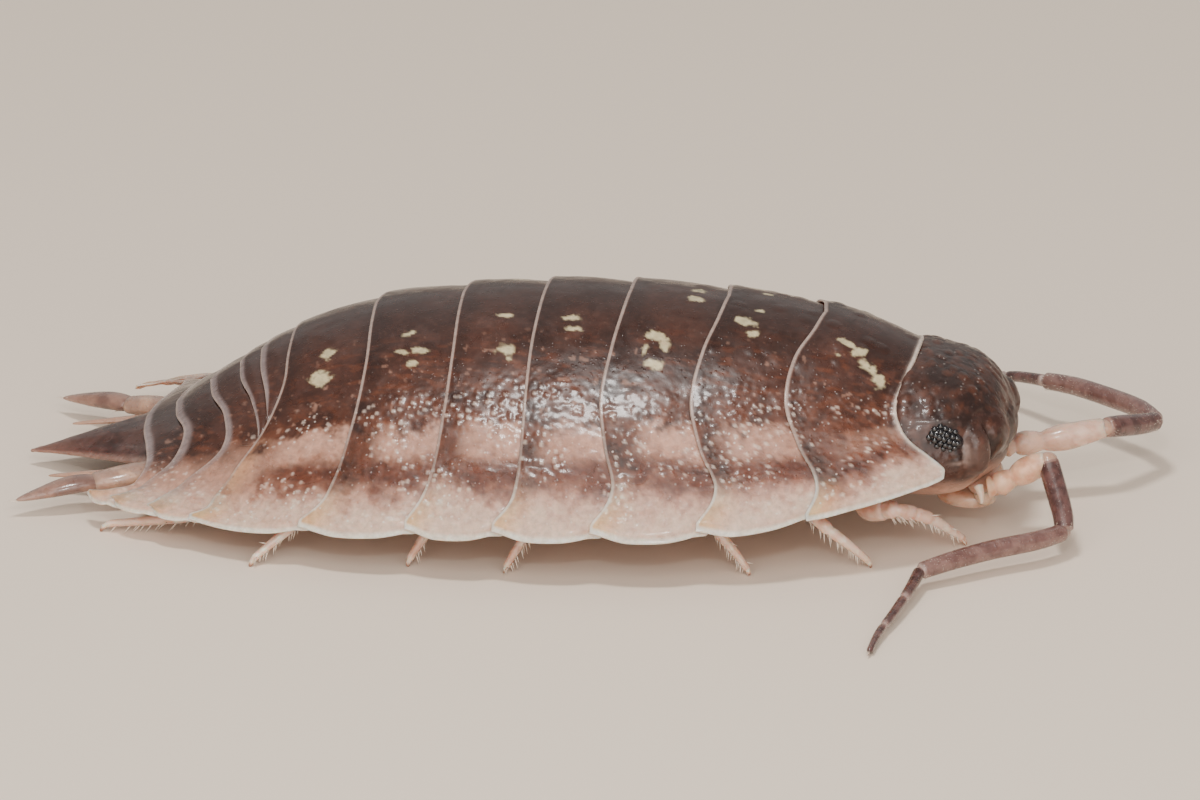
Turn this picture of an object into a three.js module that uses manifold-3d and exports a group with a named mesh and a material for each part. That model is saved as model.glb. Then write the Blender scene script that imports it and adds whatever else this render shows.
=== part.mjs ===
// A common shiny woodlouse, life size, standing as a still display model.
// Millimetres. +X runs forward to the head, +Y to the animal's left, +Z up. The feet stand on Z = 0.
import * as THREE from 'three';
import { mergeVertices } from 'three/addons/utils/BufferGeometryUtils.js';
import Module from 'manifold-3d';

const wasm = await Module();
wasm.setup();

// ---- driving dimensions ----
const GAP = 0.04; // clear gap between neighbouring solids
const PLATE = 0.26; // thickness of the side plates away from their rim
const RIM = 0.16; // thickness of the side plates at their rim
const LIP = 0.11; // how proud the rear margin of a plate stands of the plate behind
const LEG_R = 0.25; // radius of the upper leg
const SHIN_R = 0.2; // radius of the lower leg
const FOOT_R = 0.13; // radius of the flat under each foot

// The body form: half width, height of the lower rim and height of the back, by station along X.
const STATION = [-8.5, -7.4, -6.5, -5.5, -4.4, -3.1, -1.8, -0.4, 1.0, 2.5, 4.1, 5.4, 6.3];
const HALF_WIDTH = [0.8, 2.1, 2.7, 3.12, 3.42, 3.6, 3.68, 3.69, 3.62, 3.4, 2.9, 2.24, 1.72];
const RIM_HEIGHT = [0.36, 0.42, 0.46, 0.5, 0.55, 0.62, 0.7, 0.75, 0.78, 0.82, 1.02, 1.26, 1.44];
const BACK_HEIGHT = [0.36, 0.6, 0.92, 1.62, 2.36, 2.92, 3.2, 3.38, 3.46, 3.43, 3.26, 2.86, 2.5];
const BELLY_HEIGHT = [0.24, 0.3, 0.38, 0.62, 0.86, 0.96, 1.0, 1.0, 1.0, 1.02, 1.1, 1.2, 1.28];
const BELL = [1, 1, 1, 0.9, 0.5, 0.25, 0.2, 0.2, 0.2, 0.2, 0.2, 0.2, 0.2]; // 0 a plain arch, 1 a raised middle with flat sides

// Rear margins of the plates: X on the midline, then offsets at these shares of the half width.
const SHARE = [0, 0.2, 0.4, 0.6, 0.75, 0.87, 0.93, 1];
const MARGIN = {
  nape: [5.42, [0, -0.02, -0.09, -0.17, 0, 0.25, 0.42, 0.7]],
  pereonite_1: [3.97, [0, -0.1, -0.31, -0.34, -0.1, 0.2, 0.25, 0.1]],
  pereonite_2: [2.46, [0, -0.06, -0.2, -0.26, -0.06, 0.24, 0.22, -0.02]],
  pereonite_3: [0.95, [0, -0.03, -0.09, -0.13, 0.01, 0.2, 0.14, -0.12]],
  pereonite_4: [-0.38, [0, 0, 0, 0.03, 0.06, 0.05, -0.02, -0.3]],
  pereonite_5: [-1.66, [0, 0.03, 0.07, 0.08, 0.05, -0.03, -0.14, -0.37]],
  pereonite_6: [-3.03, [0, 0.04, 0.09, 0.06, -0.04, -0.18, -0.32, -0.68]],
  pereonite_7: [-4.3, [0, 0.02, 0.05, -0.15, -0.52, -0.76, -0.86, -1.17]],
  pleonite_1: [-4.8, [0, 0.1, 0.29, 0.42, 0.45, 0.45, 0.45, 0.45]],
  pleonite_2: [-5.13, [0, 0.12, 0.4, 0.62, 0.65, 0.65, 0.65, 0.65]],
  pleonite_3: [-5.6, [0, 0.14, 0.43, 0.5, 0, -0.3, -0.42, -0.55]],
  pleonite_4: [-6.13, [0, 0.1, 0.32, 0.24, -0.08, -0.33, -0.48, -0.67]],
  pleonite_5: [-6.6, [0, 0.05, 0.18, 0.28, 0.2, -0.1, -0.3, -0.6]],
};
const ORDER = Object.keys(MARGIN);
const NARROW = { pleonite_1: 1.3, pleonite_2: 1.45 }; // half widths of the two short tail plates, which have no side plates

// The head, an egg shape cut square behind, with an eye on each side.
const HEAD_AT = [5.6, 0, 1.55];
const HEAD_HALF = [1.28, 1.62, 1.2, 0.86]; // forward, sideways, up, down
const HEAD_POWER = 2.3;
const EYE_AT = [6.02, 1.38, 1.93]; // the left one; the right one mirrors it
const EYE_HALF = [0.34, 0.26, 0.25];

// The limbs: points from the body to the tip, on the right side. Every foot ends on the floor.
const COXA_Y = 1.2;
const LEGS = [
  { x: 4.62, knee: [5.35, 1.75, 1.0], shin: [5.85, 1.45, 0.6], foot: [6.3, 0.95] },
  { x: 3.18, knee: [3.85, 2.05, 1.12], shin: [4.4, 2.3, 0.66], foot: [5.0, 2.08] },
  { x: 1.78, knee: [2.1, 2.15, 1.2], shin: [2.7, 2.6, 0.66], foot: [3.21, 2.69] },
  { x: 0.36, knee: [0.2, 2.3, 1.2], shin: [-0.15, 2.9, 0.66], foot: [-0.51, 3.2] },
  { x: -0.98, knee: [-1.25, 2.3, 1.2], shin: [-1.65, 2.85, 0.64], foot: [-2.02, 3.15] },
  { x: -2.3, knee: [-2.9, 2.35, 1.05], shin: [-3.7, 3.0, 0.6], foot: [-4.41, 3.53] },
  { x: -3.62, knee: [-4.4, 1.95, 0.78], shin: [-5.5, 2.35, 0.3], foot: [-6.91, 2.47] },
];
const FEELER = {
  right: {
    base: [[6.72, -0.74, 0.86], [6.98, -0.58, 1.03], [7.42, -0.52, 1.28]],
    article4: [[7.57, -0.62, 1.14], [7.87, -1.16, 0.55]],
    article5: [[7.84, -1.35, 0.44], [6.84, -2.08, 0.42], [5.92, -2.78, 0.34]],
    flagellum: [[5.85, -2.93, 0.31], [5.72, -4.34, 0.27], [5.57, -5.75, 0.22]],
  },
  left: {
    base: [[6.8, 0.85, 0.98], [7.4, 1.1, 1.02], [8.04, 1.3, 1.13]],
    article4: [[8.17, 1.41, 1.12], [8.76, 2.24, 0.92]],
    article5: [[8.76, 2.43, 0.9], [7.85, 3.28, 0.88], [6.88, 3.92, 0.82]],
    flagellum: [[6.76, 4.0, 0.79], [5.8, 4.75, 0.52], [4.9, 5.35, 0.22]],
  },
};
const FEELER_R = { base: [0.26, 0.3, 0.25], article4: [0.25, 0.25], article5: [0.25, 0.25, 0.25], flagellum: [0.25, 0.24, 0.2] };
const TELSON_TIP = [-8.45, 0.3]; // X and height
const TELSON_HALF = 1.2;
const UROPOD = [[-6.66, -1.42, 0.48], [-7.2, -1.62, 0.46], [-7.8, -1.9, 0.38], [-8.26, -2.12, 0.3]];
const UROPOD_R = [0.2, 0.24, 0.2, 0.08];

// ---- small tools ----
const lerp = (a, b, t) => a + (b - a) * t;
const clamp = (x, a = 0, b = 1) => Math.min(b, Math.max(a, x));
const smooth = (a, b, x) => { const t = clamp((x - a) / (b - a)); return t * t * (3 - 2 * t); };

// A smooth curve through (xs, ys), with the slope at each knot taken from its neighbours.
function through(xs, ys) {
  const n = xs.length;
  const m = xs.map((_, i) => {
    const a = Math.max(0, i - 1), b = Math.min(n - 1, i + 1);
    return (ys[b] - ys[a]) / (xs[b] - xs[a]);
  });
  return (x) => {
    if (x <= xs[0]) return ys[0];
    if (x >= xs[n - 1]) return ys[n - 1];
    let i = 0;
    while (x > xs[i + 1]) i++;
    const h = xs[i + 1] - xs[i], t = (x - xs[i]) / h;
    const t2 = t * t, t3 = t2 * t;
    return (2 * t3 - 3 * t2 + 1) * ys[i] + (t3 - 2 * t2 + t) * h * m[i] + (-2 * t3 + 3 * t2) * ys[i + 1] + (t3 - t2) * h * m[i + 1];
  };
}
const halfWidth = through(STATION, HALF_WIDTH);
const rimHeight = through(STATION, RIM_HEIGHT);
const backHeight = through(STATION, BACK_HEIGHT);
const bellyHeight = through(STATION, BELLY_HEIGHT);
const bell = through(STATION, BELL);
const offsets = Object.fromEntries(ORDER.map((k) => [k, through(SHARE, MARGIN[k][1])]));
const margin = (k, s) => MARGIN[k][0] + offsets[k](s);

// Height of the smooth back at X and at share s of the half width.
function backAt(x, s) {
  const arch = 1 - Math.pow(s, 2.2);
  const raised = Math.pow(clamp(1 - Math.pow(s, 1.7)), 1.8);
  const rim = rimHeight(x) + RIM;
  return rim + (backHeight(x) - rim) * lerp(arch, raised, bell(x));
}

// A closed body from rings of points, each ring a loop of the same count. The ends are closed by a fan, or by a
// strip from the first half of the ring to the second half when the ring is a thin slab.
function loft(rings, strip = false) {
  const n = rings[0].length, pos = [], index = [];
  rings.forEach((r) => r.forEach((p) => pos.push(p[0], p[1], p[2])));
  for (let i = 0; i + 1 < rings.length; i++)
    for (let j = 0; j < n; j++) {
      const a = i * n + j, b = i * n + ((j + 1) % n), c = a + n, d = b + n;
      index.push(a, b, d, a, d, c);
    }
  const cap = (ring, base, flip) => {
    const mid = ring.reduce((s, p) => [s[0] + p[0] / n, s[1] + p[1] / n, s[2] + p[2] / n], [0, 0, 0]);
    const m = pos.length / 3;
    pos.push(...mid);
    for (let j = 0; j < n; j++) {
      const a = base + j, b = base + ((j + 1) % n);
      flip ? index.push(m, a, b) : index.push(m, b, a);
    }
  };
  const lace = (base, flip) => {
    for (let j = 0; j + 1 < n / 2; j++) {
      const a = base + j, b = a + 1, d = base + n - 1 - j, c = d - 1;
      flip ? index.push(a, b, c, a, c, d) : index.push(a, c, b, a, d, c);
    }
  };
  const last = (rings.length - 1) * n;
  if (strip) { lace(0, false); lace(last, true); } else { cap(rings[0], 0, false); cap(rings[rings.length - 1], last, true); }
  const g = new THREE.BufferGeometry();
  g.setAttribute('position', new THREE.BufferAttribute(new Float32Array(pos), 3));
  g.setIndex(index);
  return outward(g);
}

// Turns the faces round if they point inwards.
function outward(g) {
  const p = g.getAttribute('position'), ix = g.index.array;
  const a = new THREE.Vector3(), b = new THREE.Vector3(), c = new THREE.Vector3();
  let vol = 0;
  for (let i = 0; i < ix.length; i += 3) {
    a.fromBufferAttribute(p, ix[i]); b.fromBufferAttribute(p, ix[i + 1]); c.fromBufferAttribute(p, ix[i + 2]);
    vol += a.dot(b.cross(c));
  }
  if (vol < 0) for (let i = 0; i < ix.length; i += 3) { const t = ix[i + 1]; ix[i + 1] = ix[i + 2]; ix[i + 2] = t; }
  return g;
}

function toSolid(g) {
  const bare = g.clone();
  for (const k of Object.keys(bare.attributes)) if (k !== 'position') bare.deleteAttribute(k);
  const m = mergeVertices(bare, 1e-4);
  return new wasm.Manifold(new wasm.Mesh({ numProp: 3, vertProperties: m.attributes.position.array, triVerts: new Uint32Array(m.index.array) }));
}
function fromSolid(s) {
  const m = s.getMesh(), n = m.numProp, v = new Float32Array(m.numVert * 3);
  for (let i = 0; i < m.numVert; i++) v.set(m.vertProperties.subarray(i * n, i * n + 3), i * 3);
  const g = new THREE.BufferGeometry();
  g.setAttribute('position', new THREE.BufferAttribute(v, 3));
  g.setIndex(new THREE.BufferAttribute(new Uint32Array(m.triVerts), 1));
  return g;
}
const join = (...gs) => fromSolid(gs.map(toSolid).reduce((a, b) => a.add(b)));

// ---- materials ----
const mat = (color, roughness) => new THREE.MeshStandardMaterial({ color, roughness, metalness: 0 });
const shell = mat(0x5a3f37, 0.3), shellTail = mat(0x5e4640, 0.4), pale = mat(0xd9b49c, 0.45);
const feeler = mat(0x6b4a45, 0.5), feelerBase = mat(0xdcb294, 0.4), eyeBlack = mat(0x0c0a0c, 0.1), gill = mat(0xe4cfc0, 0.4);

const model = new THREE.Group();
function put(name, geometry, material) {
  const m = new THREE.Mesh(geometry, material);
  m.name = name;
  model.add(m);
  return m;
}

// ---- trunk: one body ring for each plate, from its rounded front corner to its pointed rear corner ----
const ACROSS = [0, 0.1, 0.22, 0.34, 0.44, 0.52, 0.6, 0.68, 0.76, 0.84, 0.91, 0.96, 1]; // shares of the half width
const signedAcross = [...ACROSS.slice(1).reverse().map((s) => -s), ...ACROSS];

function ringBody(name, front, rear, steps, opts = {}) {
  const top = [], low = [];
  const nose = opts.nose ?? 0.3; // how far the front corner rounds back
  for (let i = 0; i <= steps; i++) {
    const u = i / steps;
    const topRow = [], lowRow = [];
    for (const v of signedAcross) {
      let s = Math.abs(v);
      const side = Math.sign(v);
      const half = (x) => opts.narrow ? Math.min(opts.narrow, halfWidth(x)) : halfWidth(x);
      // the share is taken on the real body form, also for the narrow plates
      const mid0 = margin(front, 0);
      const share = opts.narrow ? s * opts.narrow / halfWidth(mid0) : s;
      let xf = margin(front, share) - GAP, xr = margin(rear, share);
      if (opts.follows) xf = Math.min(xf, margin(opts.follows, share) - GAP);
      xf -= nose * Math.pow(smooth(0.84, 1.0, s), 1.6); // rounded front corner
      const room = 0.12; // the ring never closes up
      if (xf < xr + room) xf = xr + room;
      const x = lerp(xf, xr, u);
      const shareX = opts.narrow ? s * half(x) / halfWidth(x) : s;
      const y = side * shareX * halfWidth(x);
      const proud = LIP * Math.pow(u, 1.4) - (opts.sink ?? 0);
      const edge = 1 - smooth(0.8, 1, s) * 0.6;
      let zt = backAt(x, shareX) + proud * edge;
      if (u === 0) zt -= 0.05 * edge;
      const under = lerp(PLATE, RIM, smooth(0.6, 1, s));
      const belly = bellyHeight(x);
      const inner = smooth(opts.narrow ? 0.9 : 0.42, opts.narrow ? 1.0 : 0.56, s);
      const zPlate = backAt(x, shareX) - under;
      let zl = lerp(belly, Math.max(belly, zPlate), inner);
      if (opts.narrow) zl = belly;
      if (!opts.narrow && s > 0.56) zl = zPlate;
      zl = Math.min(zl, zt - 0.12);
      topRow.push([x, y, zt]);
      lowRow.push([x, y, zl]);
    }
    top.push(topRow); low.push(lowRow);
  }
  // each station is one loop: across the back, then back across the underside
  const rings = top.map((row, i) => [...row, ...[...low[i]].reverse()]);
  return loft(rings, true);
}

for (let k = 1; k < ORDER.length; k++) {
  const name = ORDER[k];
  let front = ORDER[k - 1];
  const opts = {};
  if (NARROW[name]) { opts.narrow = NARROW[name]; opts.sink = 0.04; opts.nose = 0; }
  if (name === 'pereonite_1') opts.nose = 0.0;
  if (name === 'pleonite_3') { opts.follows = 'pereonite_7'; opts.nose = 0.2; }
  if (name === 'pleonite_4' || name === 'pleonite_5') opts.nose = 0.1;
  put(name, ringBody(name, front, name, name.startsWith('pereonite') ? 4 : 2, opts), name.startsWith('pleonite') ? shellTail : shell);
}


// ---- head: an egg shape, cut away where the first plate and the eyes sit ----
function egg([cx, cy, cz], [hx, hy, up, down], power, wide = 20, high = 12) {
  const g = new THREE.SphereGeometry(1, wide, high);
  g.rotateX(Math.PI / 2);
  const p = g.getAttribute('position');
  const curl = (v) => Math.sign(v) * Math.pow(Math.abs(v), 2 / power);
  for (let i = 0; i < p.count; i++) {
    const x = curl(p.getX(i)), y = curl(p.getY(i)), z = curl(p.getZ(i));
    p.setXYZ(i, cx + hx * x, cy + hy * y, cz + (z > 0 ? up : down) * z);
  }
  return g;
}
{
  const plan = new THREE.Shape();
  const edge = [];
  for (let i = -20; i <= 20; i++) {
    const s = Math.abs(i) / 20, x = margin('nape', s);
    edge.push([x + GAP, Math.sign(i) * s * halfWidth(x)]);
  }
  plan.moveTo(3, -4);
  plan.lineTo(edge[0][0], -4);
  edge.forEach(([x, y]) => plan.lineTo(x, y));
  plan.lineTo(edge[0][0], 4);
  plan.lineTo(3, 4);
  const nape = new THREE.ExtrudeGeometry(plan, { depth: 5, bevelEnabled: false });
  let head = toSolid(egg(HEAD_AT, HEAD_HALF, HEAD_POWER)).subtract(toSolid(nape));
  const eyeHole = (side) => {
    const [x, y, z] = EYE_AT;
    const g = new THREE.SphereGeometry(1, 12, 8);
    g.scale(EYE_HALF[0] + GAP, EYE_HALF[1] + GAP, EYE_HALF[2] + GAP);
    g.translate(x, side * y, z);
    return toSolid(g);
  };
  head = head.subtract(eyeHole(1)).subtract(eyeHole(-1));
  const behind = toSolid(nape);
  for (const [side, word] of [[1, 'left'], [-1, 'right']]) {
    const [x, y, z] = EYE_AT;
    const g = new THREE.SphereGeometry(1, 12, 8);
    g.scale(...EYE_HALF);
    g.translate(x, side * y, z);
    put('eye_' + word, fromSolid(toSolid(g).subtract(behind)), eyeBlack);
  }
  put('head', fromSolid(head), shell);
}
const mouth = egg([6.22, 0, 0.5], [0.5, 0.62, 0.2, 0.2], 2.6, 14, 6);
put('mouthparts', mouth, pale);

// ---- limbs: round tubes through points, each ring square to the path ----
function limb(points, radii, sides = 12, sole = false) {
  const P = points.map((p) => new THREE.Vector3(...p));
  const rings = [];
  let ref = new THREE.Vector3(0, 0, 1);
  const dir = (i) => P[Math.min(i + 1, P.length - 1)].clone().sub(P[Math.max(i - 1, 0)]).normalize();
  if (Math.abs(dir(0).dot(ref)) > 0.9) ref.set(1, 0, 0);
  P.forEach((p, i) => {
    const last = sole && i === P.length - 1;
    const d = last ? new THREE.Vector3(0, 0, -1) : dir(i);
    const e1 = ref.clone().addScaledVector(d, -ref.dot(d)).normalize();
    ref = e1;
    const e2 = d.clone().cross(e1);
    const ring = [];
    for (let j = 0; j < sides; j++) {
      const a = (2 * Math.PI * j) / sides;
      const q = p.clone().addScaledVector(e1, Math.cos(a) * radii[i]).addScaledVector(e2, Math.sin(a) * radii[i]);
      ring.push([q.x, q.y, last ? 0 : q.z]);
    }
    rings.push(ring);
  });
  return loft(rings);
}
const rounded = (points, radii, cut = 0.35) => {
  // adds a short step near each end so that the end is rounded off
  const P = points.map((p) => new THREE.Vector3(...p));
  const out = [], rr = [];
  const n = P.length;
  const d0 = P[0].clone().sub(P[1]).normalize(), d1 = P[n - 1].clone().sub(P[n - 2]).normalize();
  out.push(P[0].clone()); rr.push(radii[0] * 0.62);
  out.push(P[0].clone().addScaledVector(d0, -radii[0] * cut)); rr.push(radii[0]);
  for (let i = 1; i < n - 1; i++) { out.push(P[i]); rr.push(radii[i]); }
  out.push(P[n - 1].clone().addScaledVector(d1, -radii[n - 1] * cut)); rr.push(radii[n - 1]);
  out.push(P[n - 1].clone()); rr.push(radii[n - 1] * 0.62);
  return limb(out.map((v) => [v.x, v.y, v.z]), rr);
};

for (const [side, word] of [[-1, 'right'], [1, 'left']]) {
  LEGS.forEach((leg, i) => {
    const top = bellyHeight(leg.x) - GAP;
    const k = leg.knee, s = leg.shin, f = leg.foot;
    const pts = [
      [leg.x, side * COXA_Y, top],
      [leg.x, side * COXA_Y, top - 0.16],
      [lerp(leg.x, k[0], 0.35), side * lerp(COXA_Y, k[1], 0.4), 0.66],
      [k[0], side * k[1], k[2] - 0.2],
      [s[0], side * s[1], s[2]],
      [f[0], side * f[1], 0.24],
      [f[0], side * f[1], 0],
    ];
    put('leg_' + word + '_' + (i + 1), limb(pts, [LEG_R, LEG_R, LEG_R, LEG_R, SHIN_R + 0.04, SHIN_R, FOOT_R], 10, true), pale);
  });
  const f = FEELER[word];
  for (const key of Object.keys(f)) {
    put('antenna_' + word + '_' + key, rounded(f[key], FEELER_R[key]), key === 'base' ? feelerBase : feeler);
  }
  put('uropod_' + word, limb(UROPOD.map(([x, y, z]) => [x, -side * y, z]), UROPOD_R, 10), feeler);
}

// ---- pleotelson: a pointed plate behind the last tail plate ----
{
  const rings = [], steps = 8;
  for (let i = 0; i <= steps; i++) {
    const t = i / steps;
    const topRow = [], lowRow = [];
    for (const v of [-1, -0.75, -0.5, -0.25, 0, 0.25, 0.5, 0.75, 1]) {
      const s = Math.abs(v);
      const front = margin('pleonite_5', (s * TELSON_HALF) / halfWidth(-6.5)) - GAP;
      const x = lerp(front, TELSON_TIP[0], t);
      const half = TELSON_HALF * Math.pow(1 - t, 1.25) + 0.07;
      const mid = lerp(backHeight(-6.5) + 0.02, TELSON_TIP[1], Math.pow(t, 0.85));
      const z = mid - 0.2 * s * s * (1 - t);
      topRow.push([x, v * half, z]);
      lowRow.push([x, v * half, Math.min(z - 0.14, lerp(0.34, 0.26, t))]);
    }
    rings.push([...topRow, ...lowRow.reverse()]);
  }
  put('pleotelson', loft(rings, true), shellTail);
}

// The origin is the middle of the whole model's outline, on the floor.
const box = new THREE.Box3().setFromObject(model);
const shift = [-(box.min.x + box.max.x) / 2, -(box.min.y + box.max.y) / 2, -box.min.z];
model.children.forEach((m) => m.geometry.translate(...shift));

export default model;
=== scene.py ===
"""A common shiny woodlouse as a still, life-size museum model, on a plain pale floor."""

import math

import bpy
import numpy as np
from mathutils import Matrix, Vector


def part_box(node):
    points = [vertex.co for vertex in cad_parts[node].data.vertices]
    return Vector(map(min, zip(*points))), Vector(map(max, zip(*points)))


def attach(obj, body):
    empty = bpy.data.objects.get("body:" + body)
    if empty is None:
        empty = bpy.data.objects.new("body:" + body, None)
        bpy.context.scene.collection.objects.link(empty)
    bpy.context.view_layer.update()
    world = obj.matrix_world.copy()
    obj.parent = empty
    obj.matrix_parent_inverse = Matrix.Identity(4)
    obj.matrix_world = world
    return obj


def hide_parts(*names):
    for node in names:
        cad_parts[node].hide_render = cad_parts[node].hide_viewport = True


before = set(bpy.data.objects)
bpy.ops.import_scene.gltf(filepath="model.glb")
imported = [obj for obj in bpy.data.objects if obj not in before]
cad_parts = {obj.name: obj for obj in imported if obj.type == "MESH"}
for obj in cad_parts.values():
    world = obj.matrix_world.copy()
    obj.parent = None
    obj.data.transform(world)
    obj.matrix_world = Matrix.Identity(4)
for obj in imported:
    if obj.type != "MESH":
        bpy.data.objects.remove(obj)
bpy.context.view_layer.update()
MM = 0.001

# ---------------------------------------------------------------- the body form, in millimetres
# The same numbers as in the solids: +X to the head, +Y to the animal's left, +Z up.
_lo, _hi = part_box("mouthparts")
SHIFT = np.array([(_lo[i] + _hi[i]) / 2 / MM for i in range(3)]) - np.array([6.22, 0.0, 0.5])

STATION = [-8.5, -7.4, -6.5, -5.5, -4.4, -3.1, -1.8, -0.4, 1.0, 2.5, 4.1, 5.4, 6.3]
HALF_WIDTH = [0.8, 2.1, 2.7, 3.12, 3.42, 3.6, 3.68, 3.69, 3.62, 3.4, 2.9, 2.24, 1.72]
RIM_HEIGHT = [0.36, 0.42, 0.46, 0.5, 0.55, 0.62, 0.7, 0.75, 0.78, 0.82, 1.02, 1.26, 1.44]
BACK_HEIGHT = [0.36, 0.6, 0.92, 1.62, 2.36, 2.92, 3.2, 3.38, 3.46, 3.43, 3.26, 2.86, 2.5]
BELLY_HEIGHT = [0.24, 0.3, 0.38, 0.62, 0.86, 0.96, 1.0, 1.0, 1.0, 1.02, 1.1, 1.2, 1.28]
BELL = [1, 1, 1, 0.9, 0.5, 0.25, 0.2, 0.2, 0.2, 0.2, 0.2, 0.2, 0.2]
SHARE = [0, 0.2, 0.4, 0.6, 0.75, 0.87, 0.93, 1]
MARGIN = {
    "nape": (5.42, [0, -0.02, -0.09, -0.17, 0, 0.25, 0.46, 0.84]),
    "pereonite_1": (3.97, [0, -0.1, -0.31, -0.34, -0.1, 0.2, 0.25, 0.1]),
    "pereonite_2": (2.46, [0, -0.06, -0.2, -0.26, -0.06, 0.24, 0.22, -0.02]),
    "pereonite_3": (0.95, [0, -0.03, -0.09, -0.13, 0.01, 0.2, 0.14, -0.12]),
    "pereonite_4": (-0.38, [0, 0, 0, 0.03, 0.06, 0.05, -0.02, -0.3]),
    "pereonite_5": (-1.66, [0, 0.03, 0.07, 0.08, 0.05, -0.03, -0.14, -0.37]),
    "pereonite_6": (-3.03, [0, 0.04, 0.09, 0.06, -0.04, -0.18, -0.32, -0.68]),
    "pereonite_7": (-4.3, [0, 0.02, 0.05, -0.15, -0.52, -0.76, -0.86, -1.17]),
    "pleonite_1": (-4.8, [0, 0.1, 0.29, 0.42, 0.45, 0.45, 0.45, 0.45]),
    "pleonite_2": (-5.13, [0, 0.12, 0.4, 0.62, 0.65, 0.65, 0.65, 0.65]),
    "pleonite_3": (-5.6, [0, 0.14, 0.43, 0.5, 0, -0.3, -0.42, -0.55]),
    "pleonite_4": (-6.13, [0, 0.1, 0.32, 0.24, -0.08, -0.33, -0.48, -0.67]),
    "pleonite_5": (-6.6, [0, 0.05, 0.18, 0.28, 0.2, -0.1, -0.3, -0.6]),
}
ORDER = list(MARGIN)
REACH = {"pleonite_1": 0.66, "pleonite_2": 0.68}  # the two short tail plates end under the seventh trunk plate


class Through:
    """A smooth curve through knots, with each slope taken from the neighbouring knots."""

    def __init__(self, xs, ys):
        self.x, self.y = np.array(xs, float), np.array(ys, float)
        n = len(xs)
        a, b = np.maximum(0, np.arange(n) - 1), np.minimum(n - 1, np.arange(n) + 1)
        self.m = (self.y[b] - self.y[a]) / (self.x[b] - self.x[a])

    def __call__(self, x):
        x = np.clip(np.asarray(x, float), self.x[0], self.x[-1])
        i = np.clip(np.searchsorted(self.x, x, side="right") - 1, 0, len(self.x) - 2)
        h = self.x[i + 1] - self.x[i]
        t = (x - self.x[i]) / h
        t2, t3 = t * t, t * t * t
        return (
            (2 * t3 - 3 * t2 + 1) * self.y[i]
            + (t3 - 2 * t2 + t) * h * self.m[i]
            + (-2 * t3 + 3 * t2) * self.y[i + 1]
            + (t3 - t2) * h * self.m[i + 1]
        )


half_width = Through(STATION, HALF_WIDTH)
rim_height = Through(STATION, RIM_HEIGHT)
back_height = Through(STATION, BACK_HEIGHT)
belly_height = Through(STATION, BELLY_HEIGHT)
bell = Through(STATION, BELL)
_offset = {k: Through(SHARE, v[1]) for k, v in MARGIN.items()}
RIM = 0.16
LIP = 0.085


def margin(name, s):
    return MARGIN[name][0] + _offset[name](s)


def smooth(a, b, x):
    t = np.clip((x - a) / (b - a), 0, 1)
    return t * t * (3 - 2 * t)


def lerp(a, b, t):
    return a + (b - a) * t


def back_at(x, s):
    arch = 1 - np.power(s, 2.2)
    raised = np.power(np.clip(1 - np.power(s, 1.7), 0, 1), 1.8)
    rim = rim_height(x) + RIM
    b = bell(x)
    return rim + (back_height(x) - rim) * (arch * (1 - b) + raised * b)


# ---------------------------------------------------------------- noise, seeded and repeatable
_rng = np.random.default_rng(7)
_LAT = _rng.random((64, 64, 64))


def noise3(p, scale=1.0, seed=0):
    """Smooth value noise from 0 to 1 at points p (..., 3)."""
    q = np.asarray(p) * scale + np.array([17.3, 5.1, 9.7]) * (seed + 1)
    i = np.floor(q).astype(int)
    f = q - i
    f = f * f * f * (f * (f * 6 - 15) + 10)
    out = 0
    for dx in (0, 1):
        for dy in (0, 1):
            for dz in (0, 1):
                w = (
                    (f[..., 0] if dx else 1 - f[..., 0])
                    * (f[..., 1] if dy else 1 - f[..., 1])
                    * (f[..., 2] if dz else 1 - f[..., 2])
                )
                out = out + w * _LAT[(i[..., 0] + dx) % 64, (i[..., 1] + dy) % 64, (i[..., 2] + dz) % 64]
    return out


def fbm(p, scale=1.0, octaves=4, seed=0):
    total, amp, norm = 0, 1.0, 0.0
    for k in range(octaves):
        total = total + amp * noise3(p, scale * 2**k, seed + k * 3)
        norm += amp
        amp *= 0.5
    return total / norm


def granules(X, W, pitch, radius, seed, keep=1.0):
    """Low domes scattered over the plane (X, W), in millimetres: height from 0 to 1, and a random number for each dome."""
    gx, gw = X / pitch, W / pitch
    ix, iw = np.floor(gx).astype(int), np.floor(gw).astype(int)
    best, tag = np.full(X.shape, 9.0), np.zeros(X.shape)
    for dx in (-1, 0, 1):
        for dw in (-1, 0, 1):
            a, b = ix + dx, iw + dw
            r1, r2, r3 = (_LAT[a % 64, b % 64, (seed + k) % 64] for k in (0, 17, 31))
            d = np.hypot(gx - a - r1, gw - b - r2)
            near = d < best
            best, tag = np.where(near, d, best), np.where(near, r3, tag)
    return np.clip(1 - (best * pitch / radius) ** 2, 0, 1) * (tag < keep), tag


def srgb(r, g, b):
    c = np.array([r, g, b], float) / 255
    return np.where(c <= 0.04045, c / 12.92, ((c + 0.055) / 1.055) ** 2.4)


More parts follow.
